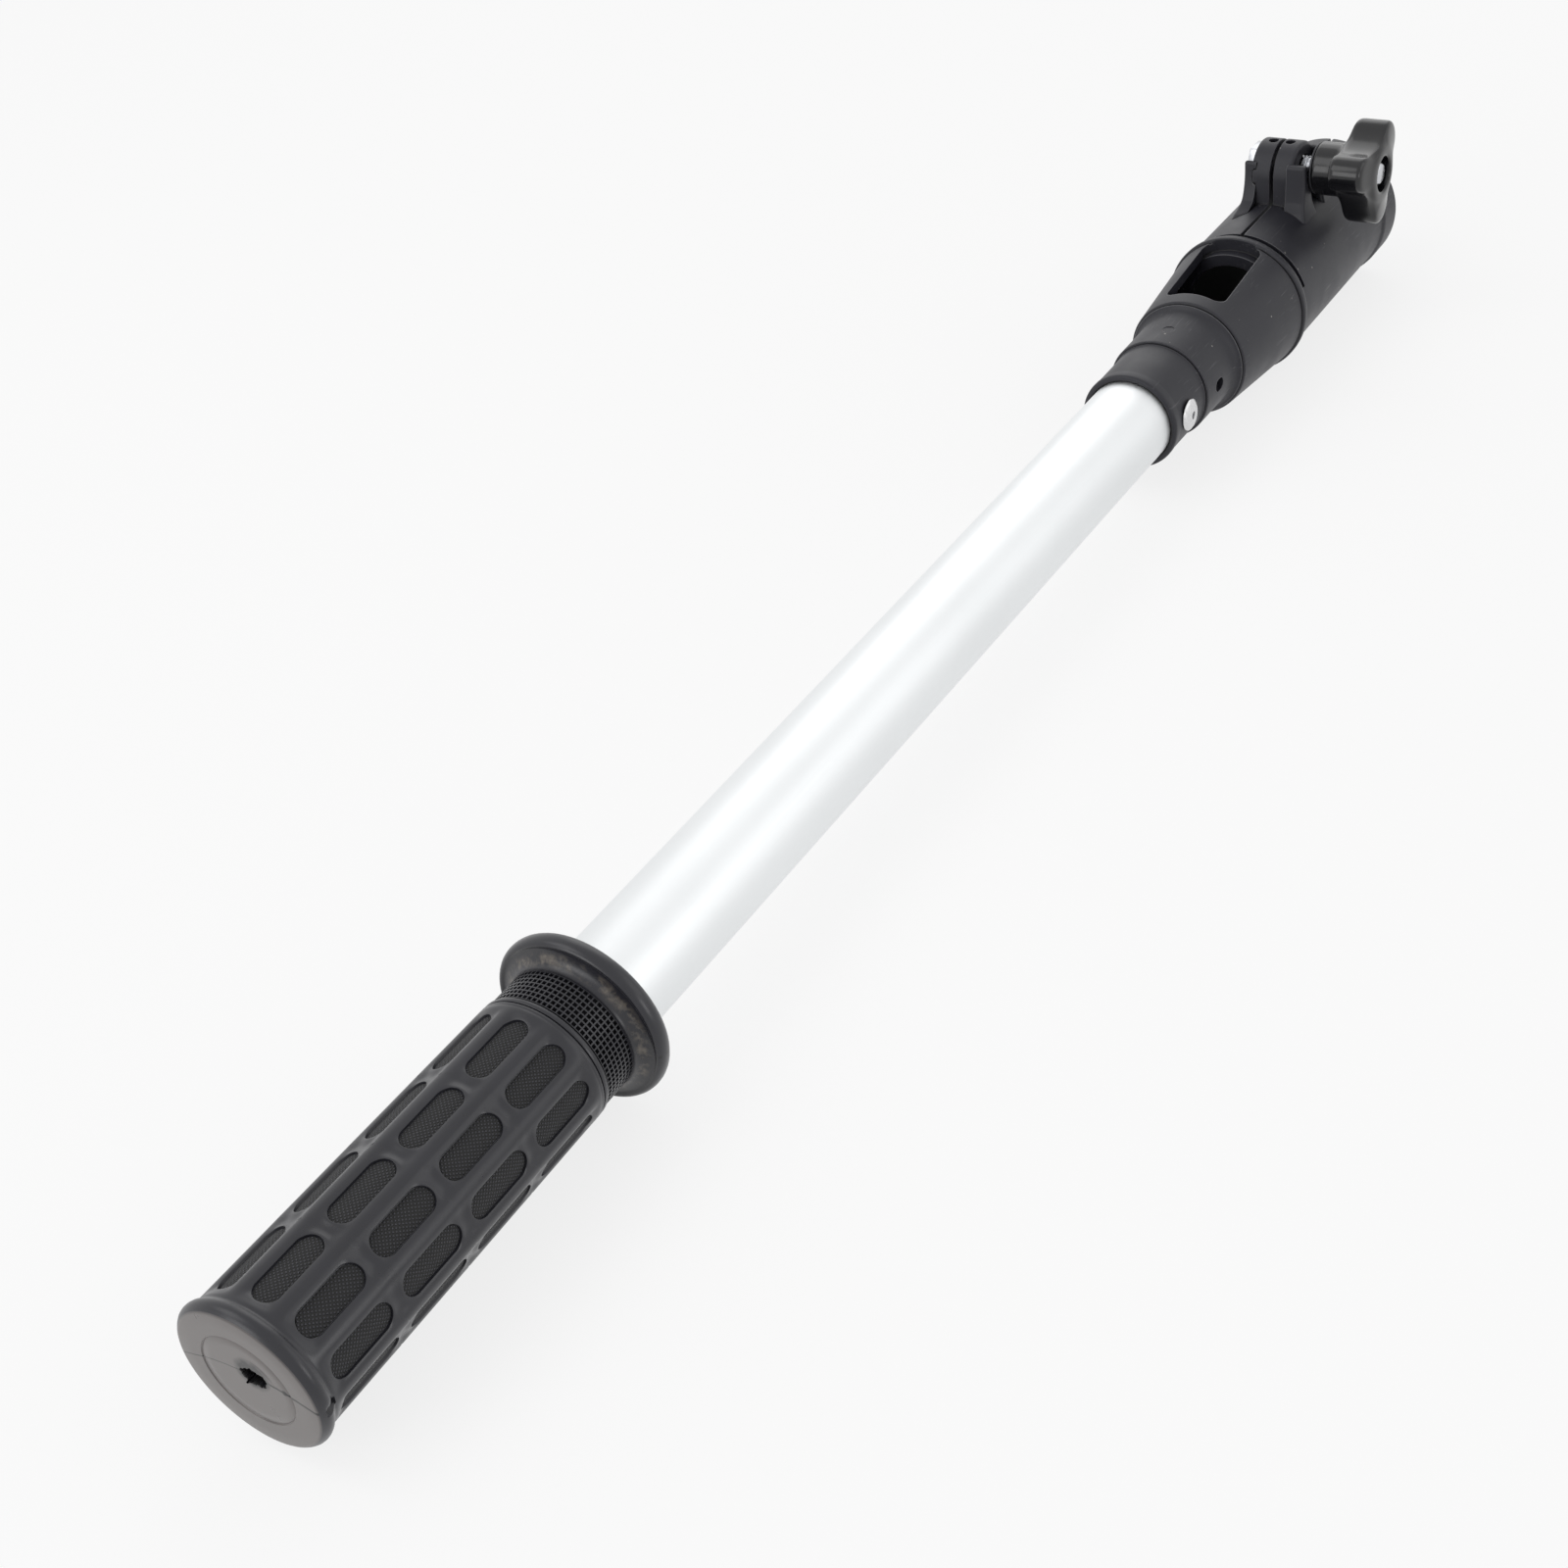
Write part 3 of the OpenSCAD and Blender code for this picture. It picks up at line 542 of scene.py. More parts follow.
def build_grip():
    bm = bmesh.new()
    bm.verts.layers.float.new("pad")
    pad_cell(bm)
    first = all_of(bm)
    for row in range(PAD_ROWS):
        for column in range(PAD_COLUMNS):
            if row or column:
                copy = bmesh.ops.duplicate(bm, geom=first)["geom"]
                bmesh.ops.translate(bm, vec=(row * PAD_PITCH * MM, column * CELL * MM, 0), verts=verts_of(copy))
    bmesh.ops.remove_doubles(bm, verts=bm.verts, dist=1e-6)
    uv = bm.loops.layers.uv.new("flat")
    for face in bm.faces:
        for loop in face.loops:
            loop[uv].uv = (loop.vert.co.x / MM, loop.vert.co.y / MM)
    # Flutes: the pads lie in shallow hollows between raised ribs, which fade out at both ends
    for vert in bm.verts:
        x, y = vert.co.x / MM, vert.co.y / MM
        from_middle = abs((y + CELL / 2) % CELL - CELL / 2)
        fade = smooth_step((x + PAD_PITCH / 2) / 4) * smooth_step((PAD_PITCH * (PAD_ROWS - 0.5) - x) / 4)
        flute = -0.75 * (1 - smooth_step((from_middle - 3.0) / 2.6)) * fade
        between = abs((x + PAD_PITCH / 2) % PAD_PITCH)
        between = min(between, PAD_PITCH - between)
        flute -= 0.5 * (1 - smooth_step(between / 3.2)) * (1 - smooth_step((from_middle - 1.5) / 3.5)) * fade
        radius = grip_body_radius(x + PADS_START) + vert.co.z / MM + flute
        angle = y / MAP_R - math.radians(7.5)
        vert.co = ((x + PADS_START) * MM, radius * MM * math.sin(angle), radius * MM * math.cos(angle))
    bmesh.ops.remove_doubles(bm, verts=bm.verts, dist=2e-6)

    # End of the body beside the waffle band, with a crease before the dark groove
    near = PADS_START + PAD_PITCH * (PAD_ROWS - 0.5)
    loop = carry_on(bm, edge_ring(bm, near, 0.2), [
        (near + 0.5, 19.5), (near + 0.8, 19.42), (near + 1.1, 19.5), (-472.65, 19.5), (-472.5, 19.42),
        (-472.42, 19.0), (-472.1, 19.0), (-472.02, 19.35), (-471.9, 19.42), (-470.9, 19.42), (-470.6, 19.3),
        (-470.5, 19.05), (-470.45, 18.3)])

    # Waffle band: a flat grid with each cell sunk, rolled round the neck
    flat = bmesh.new()
    rows, columns = 7, 80
    band = WAFFLE_END - WAFFLE_START
    bmesh.ops.create_grid(flat, x_segments=rows, y_segments=columns, size=0.5)
    bmesh.ops.scale(flat, vec=(band * MM, TURN * MAP_R * MM, 1), verts=flat.verts)
    holes = list(flat.faces)
    bmesh.ops.inset_individual(flat, faces=holes, thickness=0.2 * MM, use_even_offset=True)
    sunk = bmesh.ops.extrude_discrete_faces(flat, faces=holes)["faces"]
    bmesh.ops.translate(flat, vec=(0, 0, -1.2 * MM), verts=list({v for f in sunk for v in f.verts}))
    for vert in flat.verts:
        angle = vert.co.y / MM / MAP_R
        radius = 18.95 * MM + vert.co.z
        vert.co = (vert.co.x + (WAFFLE_START + WAFFLE_END) / 2 * MM,
                   radius * math.sin(angle), radius * math.cos(angle))
    bmesh.ops.remove_doubles(flat, verts=flat.verts, dist=2e-6)
    absorb(bm, flat)
    band_start = carry_on(bm, edge_ring(bm, WAFFLE_START), [(WAFFLE_START, 18.3)])
    bmesh.ops.bridge_loops(bm, edges=loop + band_start)

    # Neck, hollow front of the flange, its round rim, back and bore
    bore = carry_on(bm, edge_ring(bm, WAFFLE_END), [
        (-459.3, 18.75), (-458.9, 18.7), (-458.3, 18.8), (-457.7, 19.05), (-457.1, 19.5), (-456.6, 20.1),
        (-456.2, 20.9), (-455.95, 21.7), (-455.8, 22.4), (-455.7, 22.9), (-455.75, 23.2), (-456.0, 23.5),
        (-456.15, 23.85), (-456.05, 24.3), (-455.6, 24.8), (-454.9, 25.15), (-454.0, 25.3), (-453.0, 25.25),
        (-452.0, 24.95), (-451.2, 24.4), (-450.7, 23.6), (-450.4, 22.4), (-450.1, 20.6), (-449.7, 19.3),
        (-449.2, 18.6), (-449.0, 18.0), (-449.0, 15.6), (-449.3, 15.15), (-452, 15.1), (TUBE_START, 15.1)])

    # Rim bead and closed end, then the torn hole
    edge = carry_on(bm, edge_ring(bm, PADS_START - PAD_PITCH / 2, 0.2), [
        (-575.4, 20.15), (-575.8, 20.25), (-576.3, 20.65), (-576.9, 21.1), (-577.6, 21.35), (-578.3, 21.4),
        (-579.0, 21.25), (-579.6, 20.9), (-580.1, 20.45), (-580.4, 20.0), (-580.5, 19.5), (-580.5, 16.0),
        (-580.5, 13.6), (-580.5, 13.35), (-580.3, 13.25), (-580.2, 13.1), (-580.28, 12.9), (-580.4, 12.7),
        (-580.4, 10.5), (-580.4, 8.8)])
    # The rings then centre on the tear; the last ones follow its ragged outline through the wall
    for share, x, radius in ((0.5, -580.4, 7.4), (0.85, -580.4, 5.9), (1.0, -580.4, 4.9), (1.0, -580.38, None),
                             (1.0, -580.1, None), (1.0, TUBE_START, None)):
        verts, edge = extrude_rim(bm, edge)
        middle_y, middle_z = TEAR_Y * share, TEAR_Z * share
        for vert in verts:
            angle = math.atan2(vert.co.y / MM - middle_y, vert.co.z / MM - middle_z)
            r = radius or tear_outline(angle) - (0.12 if x > -580.3 else 0.0)
            vert.co = (x * MM, (middle_y + r * math.sin(angle)) * MM, (middle_z + r * math.cos(angle)) * MM)
    bmesh.ops.bridge_loops(bm, edges=bore + edge)
    # Torn nicks in the end bead and in the flange's rim, on the knob's side
    for start, end, middle, width, depth in NICKS:
        for vert in bm.verts:
            radius = math.hypot(vert.co.y, vert.co.z) / MM
            off = abs(math.degrees(math.atan2(-vert.co.y, vert.co.z)) - middle) / width
            if start < vert.co.x / MM < end and radius > 19.4 and off < 1:
                share = 1 - depth * (1 - off)
                vert.co.y *= share
                vert.co.z *= share
    bmesh.ops.recalc_face_normals(bm, faces=bm.faces)
    return finish_mesh(bm, "grip_rubber", RUBBER, 38)


# Tube
def oval_tool():
    """Oval side holes through the collar's second step and the tube"""
    bm = bmesh.new()
    verts = bmesh.ops.create_circle(bm, cap_ends=True, segments=48, radius=2.2 * MM,
                                    matrix=Matrix.Rotation(TURN / 96, 4, "Z"))["verts"]
    for vert in verts:
        vert.co.x += math.copysign(0.8, vert.co.x) * MM
    thicken(bm, list(bm.faces), (0, 0, 60))
    bmesh.ops.transform(bm, verts=bm.verts, matrix=Matrix.Translation((SIDE_HOLE_X * MM, 30 * MM, 0))
                        @ Matrix.Rotation(TURN / 4, 4, "X"))
    return tool_from(bm)


def build_tube():
    bm = bmesh.new()
    spin_profile(bm, [(TUBE_START, 13.8), (TUBE_START, 14.7), (TUBE_START + 0.3, 15.0), (-449, 15.0), (-292, 15.0),
                      (-134.3, 15.0), (TUBE_STOP - 0.3, 15.0), (TUBE_STOP, 14.7), (TUBE_STOP, 13.8),
                      (TUBE_STOP - 0.3, 13.5), (TUBE_START + 0.3, 13.5)], 128)
    tube = finish_mesh(bm, "tube_aluminium", ANODISED, 40)
    boolean(tube, oval_tool())
    boolean(tube, rod_tool(RIVET_HOLE_R, -40, 40, "y", 48, (RIVET_X, 0, 0)))
    settle(tube, 40)
    return tube


# Clamp collar
def outline_tool(points, start, end):
    """Plate with an outline of [x, z] points, between two distances from the slit"""
    bm = bmesh.new()
    face = bm.faces.new([bm.verts.new((x * MM, start * MM, z * MM)) for x, z in points])
    thicken(bm, [face], (0, end - start, 0))
    return tool_from(bm)


def ear_tool(side):
    """One ear: a round-topped plate with a flared foot and rounded edges"""
    bm = bmesh.new()
    verts = bmesh.ops.create_circle(bm, cap_ends=True, segments=96, radius=EAR_R * MM)["verts"]
    centre = EAR_TOP - EAR_R
    for vert in verts:
        x, z = vert.co.x / MM, vert.co.y / MM
        below = math.degrees(math.atan2(-z, abs(x)))
        if below > 60:
            x, z = 13.4 * x / (EAR_R * 0.5), 18.0 - centre
        elif below > 0:
            drop = below / 60
            x, z = math.copysign(EAR_R + 0.5 * drop + 1.9 * drop ** 4, x), (18.0 - centre) * drop
        vert.co = (x * MM, side * HALF_SLIT * MM, (centre + z) * MM)
    thicken(bm, list(bm.faces), (0, side * (EAR_FACE - HALF_SLIT), 0))
    for place, size, steps in ((EAR_FACE, 1.4, 5), (HALF_SLIT, 0.3, 2)):
        rim = [e for e in bm.edges if all(abs(abs(v.co.y) - place * MM) < 1e-6 for v in e.verts)]
        round_edges(bm, rim, size, steps)
    return tool_from(bm)


def ribs_tool(side, reach):
    """Two ribs on an ear, flared at the foot, with a round pocket for the bolt between them"""
    # Half outlines from the foot up, in [x, z]: the far ribs sweep out wider than those beside the knob
    if side > 0:
        flare = [(24.0, 21.0), (22.0, 22.4), (20.0, 23.6), (18.4, 24.1), (17.0, 24.6), (15.3, 25.4), (13.9, 26.2),
                 (12.8, 27.6), (12.0, 29.2), (11.2, 31.5), (10.7, 33.7), (10.4, 36.0), (10.2, RIDGE_TOP)]
    else:
        flare = [(16.4, 17.5), (15.9, 19.0), (15.4, 20.2), (14.8, 21.5), (14.1, 23.0), (13.5, 24.8), (12.8, 27.0),
                 (12.3, 29.5), (11.9, 32.5), (11.5, 36.0), (11.2, RIDGE_TOP)]
    outline = flare + [(-x, z) for x, z in reversed(flare)]
    ribs = outline_tool(outline, side * 6.0, side * reach)
    boolean(ribs, rod_tool(8.2, -20, 20, "y", 72, (0, 0, BOLT_HEIGHT)))
    open_top = [(-8.2, BOLT_HEIGHT), (8.2, BOLT_HEIGHT), (8.2, 60), (-8.2, 60)]
    channel = [(-1.7, 10), (1.7, 10), (5.2, BOLT_HEIGHT - 5), (-5.2, BOLT_HEIGHT - 5)]
    for points in (open_top, channel):
        boolean(ribs, outline_tool(points, -20, 20))
    bm = bmesh.new()
    bm.from_mesh(ribs.data)
    bpy.data.objects.remove(ribs)
    bmesh.ops.dissolve_limit(bm, angle_limit=math.radians(1), verts=bm.verts, edges=bm.edges)
    for z in (19.0, 20.5, 22.0, 23.5, 25.0, 26.5):
        bmesh.ops.bisect_plane(bm, geom=all_of(bm), dist=1e-6, plane_co=(0, 0, z * MM), plane_no=(0, 0, 1))
    outer = {f for f in bm.faces if all(abs(abs(v.co.y) - reach * MM) < 1e-5 for v in f.verts)}
    rim = [e for e in bm.edges if len(outer.intersection(e.link_faces)) == 1
           or (all(v.co.z > (RIDGE_TOP - 0.01) * MM for v in e.verts)
               and abs(e.verts[0].co.x - e.verts[1].co.x) < 1e-6)]
    round_edges(bm, rim, 1.1, 4)
    # The foot spreads outwards too, in a hollow curve
    for vert in bm.verts:
        out = (abs(vert.co.y) / MM - EAR_FACE) / (reach - EAR_FACE)
        down = min(max((27.0 - vert.co.z / MM) / 6.5, 0.0), 1.2)
        vert.co.y += side * 1.2 * min(max(out, 0.0), 1.0) * down ** 2 * MM
    return tool_from(bm)


def window_tool():
    """Window prism with rounded corners, kept above the ring behind the window"""
    bm = bmesh.new()
    corner, length, width, middle = 4.0, 36.4, 22.0, -62.5
    verts = bmesh.ops.create_circle(bm, cap_ends=True, segments=64, radius=corner * MM,
                                    matrix=Matrix.Rotation(TURN / 128, 4, "Z"))["verts"]
    for vert in verts:
        vert.co.x += math.copysign(length / 2 - corner, vert.co.x) * MM + middle * MM
        vert.co.y += math.copysign(width / 2 - corner, vert.co.y) * MM
        vert.co.z = 11 * MM
    thicken(bm, list(bm.faces), (0, 0, 20))
    window = tool_from(bm)
    boolean(window, rod_tool(21.5, SHOULDER_FRONT, -40, "x", 144))
    return window


def build_collar():
    """The whole collar moulding: turned body, ears and ribs, then its holes and slots"""
    bm = bmesh.new()
    spin_profile(bm, [
        # Rounded mouth round the tube, then the first step with its swept end
        (-134.3, 16.4), (-134.15, 16.85), (-133.7, 17.15), (-133.1, 17.22), (-131.8, 17.2), (-130.6, 17.05),
        (-129.8, 17.0), (-120, 17.05), (-112.0, 17.1), (-111.2, 17.25), (-110.85, 17.4),
        # Fine gap, then the second step
        (-110.75, 16.9), (-110.5, 16.9), (-110.45, 17.75), (-110.3, 18.08), (-109.9, 18.25), (-101, 18.32),
        (-92.5, 18.4), (-89.8, 18.6), (-88.7, 18.95), (-87.9, 19.5), (-87.4, 20.15), (-87.15, 20.7),
        # Fine gap, then the cone
        (-86.95, 20.2), (-86.65, 20.2), (-86.6, 20.95), (-86.4, 21.3), (-86.0, 21.48), (-72, 22.78),
        (-58, 24.07), (-45.1, 25.25),
        # Groove and bead behind the slot
        (-44.85, 24.7), (-44.5, 24.7), (-44.4, 25.55), (-44.15, 25.95), (-43.8, 26.1), (-42.6, 26.1),
        (-41.9, 26.02), (-41.2, 25.75), (-40.6, 25.3), (BEAD_END, 24.7),
        # Clamp and the bead at its open mouth
        (-30, 24.7), (-15, 24.7), (0, 24.7), (15, 24.7), (28, 24.7), (34.6, 24.7), (35.2, 24.85), (35.8, 25.2),
        (36.4, 25.5), (37.2, 25.6), (42, 25.6), (47.2, 25.6), (47.9, 25.42), (48.35, 25.0), (48.5, 24.4),
        (48.5, 22.4), (48.35, 22.0), (47.5, BORE_R),
        # Bore, ring behind the window, inside of the cone, and the tube's seat
        (28, BORE_R), (0, BORE_R), (-30, BORE_R), (SHOULDER_BACK, BORE_R), (SHOULDER_BACK, 17.4), (-43.8, 17.1),
        (-47.7, 17.1), (SHOULDER_FRONT, 17.4), (SHOULDER_FRONT, 21.5), (-60, 20.43), (-74, 19.2), (-87.5, 18.0),
        (-87.5, 13.5), (TUBE_STOP, 13.5), (TUBE_STOP, 15.08), (-110, 15.08), (-133.6, 15.08), (-134.1, 15.3),
        (-134.3, 15.75)], 144)
    collar = tool_from(bm)
    for side, reach in ((1, FAR_RIDGE), (-1, NEAR_RIDGE)):
        boolean(collar, ear_tool(side), "UNION")
        boolean(collar, ribs_tool(side, reach), "UNION")
    # What was joined inside the bore is cut away again
    boolean(collar, rod_tool(BORE_R, SHOULDER_BACK, 60, "x", 144))
    boolean(collar, window_tool())
    slit = [(BEAD_END, 10), (60, 10), (60, 60), (BEAD_END, 60)]
    boolean(collar, outline_tool(slit, -HALF_SLIT, HALF_SLIT))
    # Slot round the clamp that frees its two wings, drawn wide enough to show past the bead
    bm = bmesh.new()
    slot_end = BEAD_END + ROUND_SLOT
    verts = [bm.verts.new((x * MM, 0, r * MM)) for x, r in (
        (BEAD_END, 20.5), (BEAD_END, 28), (slot_end, 28), (slot_end, 20.5))]
    face = bm.faces.new(verts)
    bmesh.ops.rotate(bm, verts=verts, cent=(0, 0, 0),
                     matrix=Matrix.Rotation(math.radians(-ROUND_SLOT_ANGLE), 3, "X"))
    bmesh.ops.spin(bm, geom=verts + list(face.edges) + [face], cent=(0, 0, 0), axis=(1, 0, 0),
                   angle=math.radians(2 * ROUND_SLOT_ANGLE), steps=72, use_merge=False)
    boolean(collar, tool_from(bm))
    boolean(collar, rod_tool(4.25, -20, 20, "y", 64, (0, 0, BOLT_HEIGHT)))
    boolean(collar, rod_tool(7.62, HEAD_SEAT, 20, "y", 6, (0, 0, BOLT_HEIGHT)))
    boolean(collar, rod_tool(RIVET_HOLE_R, -40, 40, "y", 48, (RIVET_X, 0, 0)))
    boolean(collar, oval_tool())
    # Round mark moulded on top of the second step, and the holes in the tops of the ears
    boolean(collar, rod_tool(2.1, 18.1, 20, "z", 48, (SIDE_HOLE_X, 0, 0)))
    for side in (-1, 1):
        boolean(collar, rod_tool(1.85, EAR_TOP - 3.8, EAR_TOP + 2, "z", 48, (0, side * 3.2, 0)))
    collar.name = collar.data.name = "clamp_collar_moulding"
    collar.data.materials.clear()
    collar.data.materials.append(NYLON)
    bm = bmesh.new()
    bm.from_mesh(collar.data)
    bmesh.ops.remove_doubles(bm, verts=bm.verts, dist=2e-6)
    bm.to_mesh(collar.data)
    bm.free()
    worn = collar.modifiers.new("moulded edges", "BEVEL")
    worn.width = 0.3 * MM
    worn.segments = 2
    worn.limit_method = "ANGLE"
    worn.angle_limit = math.radians(38)
    settle(collar, 38)
    even_shading(collar)
    return collar


# Rivets
def build_rivets():
    """Blind rivets on both sides, with their broken mandrels, as two pieces"""
    bodies, mandrels = bmesh.new(), bmesh.new()
    # Distance from the tube's axis at which the heads sit on the first step
    seat = 17.12
    for bm, profile in ((bodies, [
            (9.4, 1.3), (9.2, 1.9), (9.4, 2.5), (10.6, 3.3), (12.0, 3.3), (13.3, 2.4), (seat, 2.4), (seat, 5.1),
            (seat + 0.15, 5.4), (seat + 0.4, 5.35), (seat + 0.85, 4.7), (seat + 1.25, 3.8), (seat + 1.52, 2.8),
            (seat + 1.66, 1.95), (seat + 1.68, 1.55), (seat + 1.6, 1.35), (seat + 1.35, 1.25), (seat + 0.6, 1.26)]),
            (mandrels, [(8.2, 0.0), (8.2, 1.5), (8.5, 1.9), (9.1, 1.9), (9.3, 1.2), (seat + 0.5, 1.2),
                        (seat + 0.62, 1.05), (seat + 0.62, 0.5), (seat + 0.45, 0.0)])):
        spin_profile(bm, profile, 48, closed=bm is bodies)
        bmesh.ops.remove_doubles(bm, verts=bm.verts, dist=1e-6)
        # The turned shape points along X: turn it to face the knob's side, then copy it to the far side
        bmesh.ops.transform(bm, matrix=Matrix.Translation((RIVET_X * MM, 0, 0)) @ Matrix.Rotation(-TURN / 4, 4, "Z"),
                            verts=bm.verts)
        far = bmesh.ops.duplicate(bm, geom=all_of(bm))["geom"]
        bmesh.ops.rotate(bm, verts=verts_of(far), cent=(RIVET_X * MM, 0, 0),
                         matrix=Matrix.Rotation(TURN / 2, 3, "Z"))
        bmesh.ops.recalc_face_normals(bm, faces=bm.faces)
    return (finish_mesh(bodies, "rivet_heads", RIVET_METAL, 40),
            finish_mesh(mandrels, "rivet_mandrel_stubs", MANDREL_METAL, 40))


# Clamp bolt
def along_bolt(bm):
    """Turns a shape made along X to lie on the bolt's axis, X outwards past the knob"""
    bmesh.ops.transform(bm, verts=bm.verts, matrix=Matrix.Translation((0, 0, BOLT_HEIGHT * MM))
                        @ Matrix.Rotation(-TURN / 4, 4, "Z"))


def build_bolt():
    """M8 bolt from its head in the far ear to its tip in the knob's recess"""
    bm = bmesh.new()
    # Six-sided head with its corners turned off
    bmesh.ops.create_cone(bm, cap_ends=True, segments=6, radius1=7.5 * MM, radius2=7.5 * MM, depth=5.3 * MM)
    round_edges(bm, list(bm.edges), 0.35, 2)
    bmesh.ops.transform(bm, verts=bm.verts, matrix=Matrix.Translation((-(HEAD_SEAT + 2.65) * MM, 0, 0))
                        @ Matrix.Rotation(TURN / 4, 4, "Y"))
    # Plain shank, then the screw thread as a helix of 1.25 mm pitch
    shank = bmesh.new()
    spin_profile(shank, [(-HEAD_SEAT, 0), (-HEAD_SEAT, 4.0), (6.9, 4.0), (7.4, 3.4), (7.4, 0)], 48, closed=False)
    absorb(bm, shank)
    thread = bmesh.new()
    pitch, turns, start = 1.25, 23, 7.0
    points = [(0.0, 3.3), (0.15, 3.3), (0.55, 3.96), (0.7, 3.96), (1.1, 3.3), (1.25, 3.3)]
    verts = [thread.verts.new(((start + x) * MM, 0, r * MM)) for x, r in points]
    edges = [thread.edges.new(pair) for pair in zip(verts, verts[1:])]
    bmesh.ops.spin(thread, geom=verts + edges, cent=(0, 0, 0), axis=(-1, 0, 0), dvec=(pitch * MM / 32, 0, 0),
                   angle=TURN * turns, steps=32 * turns, use_merge=False)
    bmesh.ops.remove_doubles(thread, verts=thread.verts, dist=3e-6)
    absorb(bm, thread)
    tip = bmesh.new()
    spin_profile(tip, [(36.0, 0), (36.0, 3.9), (36.6, 3.9), (37.2, 3.4), (37.3, 3.2), (37.3, 0)], 48, closed=False)
    absorb(bm, tip)
    along_bolt(bm)
    return finish_mesh(bm, "clamp_bolt_m8", ZINC_STEEL, 32)


# Knob
KNOB_R = 20.0
HOLLOW_R = 10.6
LOBE_TURN = 70.0


def lobe_share(angle):
    """How far the outline stands out at an angle from a lobe's middle: 0 in a hollow, 1 at a tip"""
    turn = abs((angle + TURN / 6) % (TURN / 3) - TURN / 6)
    # A tip of 6.2 mm about a point 13.8 mm out meets a hollow of 23.6 mm about one 34.2 mm out
    if turn < math.radians(23.03):
        r = 13.8 * math.cos(turn) + math.sqrt(6.2 ** 2 - (13.8 * math.sin(turn)) ** 2)
    else:
        off = turn - TURN / 6
        r = 34.2 * math.cos(off) - math.sqrt(23.6 ** 2 - (34.2 * math.sin(off)) ** 2)
    return (r - HOLLOW_R) / (KNOB_R - HOLLOW_R)


def build_knob():
    """Three-lobed knob, as rings from the round neck over the lobes into the recess"""
    bm = bmesh.new()
    # Rings of [depth from the slit, radius in a hollow, radius at a lobe's tip]
    rings = [(14.35, 6.0, 6.0), (14.35, 8.6, 8.6), (14.5, 9.1, 9.1), (14.95, 9.37, 9.37), (15.6, 9.4, 9.4),
             (19.0, 9.4, 9.4), (21.6, 9.4, 9.42), (22.4, 9.42, 9.6), (22.9, 9.5, 10.4), (23.2, 9.6, 12.0),
             (23.45, 9.7, 14.2), (23.75, 9.85, 16.6), (24.1, 10.05, 18.3), (24.5, 10.25, 19.2), (25.0, 10.4, 19.65),
             (25.6, 10.55, 19.9), (26.5, 10.6, 20.0), (30.5, 10.6, 20.0), (34.8, 10.6, 20.0), (35.5, 10.6, 19.85),
             (36.0, 10.57, 19.5), (36.4, 10.5, 18.85), (36.65, 10.45, 18.0), (36.85, 10.4, 16.8),
             (37.15, 10.25, 14.7), (37.5, 10.05, 12.6), (37.8, 9.75, 11.2), (38.05, 9.3, 10.1), (38.25, 8.6, 8.9),
             (38.35, 7.5, 7.5), (38.3, 6.8, 6.8), (38.1, 6.35, 6.35), (37.7, 6.15, 6.15), (32.5, 6.0, 6.0),
             (31.4, 5.9, 5.9), (31.35, 5.6, 5.6), (31.35, 4.3, 4.3), (26.9, 4.3, 4.3), (26.9, 6.0, 6.0)]
    start = bmesh.ops.create_circle(bm, cap_ends=False, segments=144, radius=1.0)["verts"]
    edges = list(bm.edges)
    loops = [start]
    for _ in rings[1:]:
        verts, edges = extrude_rim(bm, edges)
        loops.append(verts)
    for (depth, hollow, tip), verts in zip(rings, loops):
        for vert in verts:
            # Angle from straight up towards the grip, as the lobes are laid out
            angle = math.atan2(vert.co.y, vert.co.x)
            r = hollow + (tip - hollow) * lobe_share(angle - math.radians(LOBE_TURN))
            vert.co = (-r * MM * math.sin(angle), -depth * MM, (BOLT_HEIGHT + r * math.cos(angle)) * MM)
    ends = [e for e in bm.edges if e.is_boundary]
    bmesh.ops.bridge_loops(bm, edges=ends)
    bmesh.ops.recalc_face_normals(bm, faces=bm.faces)
    knob = finish_mesh(bm, "knob_three_lobed", PHENOLIC, 50)
    even_shading(knob)
    return knob


def build_washer():
    bm = bmesh.new()
    spin_profile(bm, [(13.5, 4.3), (13.5, 8.9), (13.62, 9.1), (14.18, 9.1), (14.3, 8.9), (14.3, 4.3)], 96)
    along_bolt(bm)
    return finish_mesh(bm, "knob_washer_plastic", NYLON, 40)


def build_insert():
    bm = bmesh.new()
    spin_profile(bm, [(14.87, 4.15), (14.87, 5.7), (15.1, 5.95), (26.6, 5.95), (26.83, 5.7), (26.83, 4.15)], 64)
    along_bolt(bm)
    return finish_mesh(bm, "knob_brass_insert", BRASS, 40)


grip = build_grip()
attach(grip, "handle")
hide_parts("grip")

tube = build_tube()
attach(tube, "handle")
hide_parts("tube")

rivet_heads, mandrel_stubs = build_rivets()
for piece, node, slot in ((rivet_heads, "rivet_bodies", "rivet_aluminium"),
                          (mandrel_stubs, "rivet_mandrels", "mandrel_steel")):
    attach(piece, "handle")
    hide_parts(node)

bolt = build_bolt()
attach(bolt, "handle")
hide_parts("clamp_bolt")

knob = build_knob()
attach(knob, "knob")
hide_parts("knob")

washer = build_washer()
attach(washer, "washer")
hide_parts("knob_washer")

insert = build_insert()
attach(insert, "knob")
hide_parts("knob_insert")

collar = build_collar()
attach(collar, "handle")
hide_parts("clamp_collar")


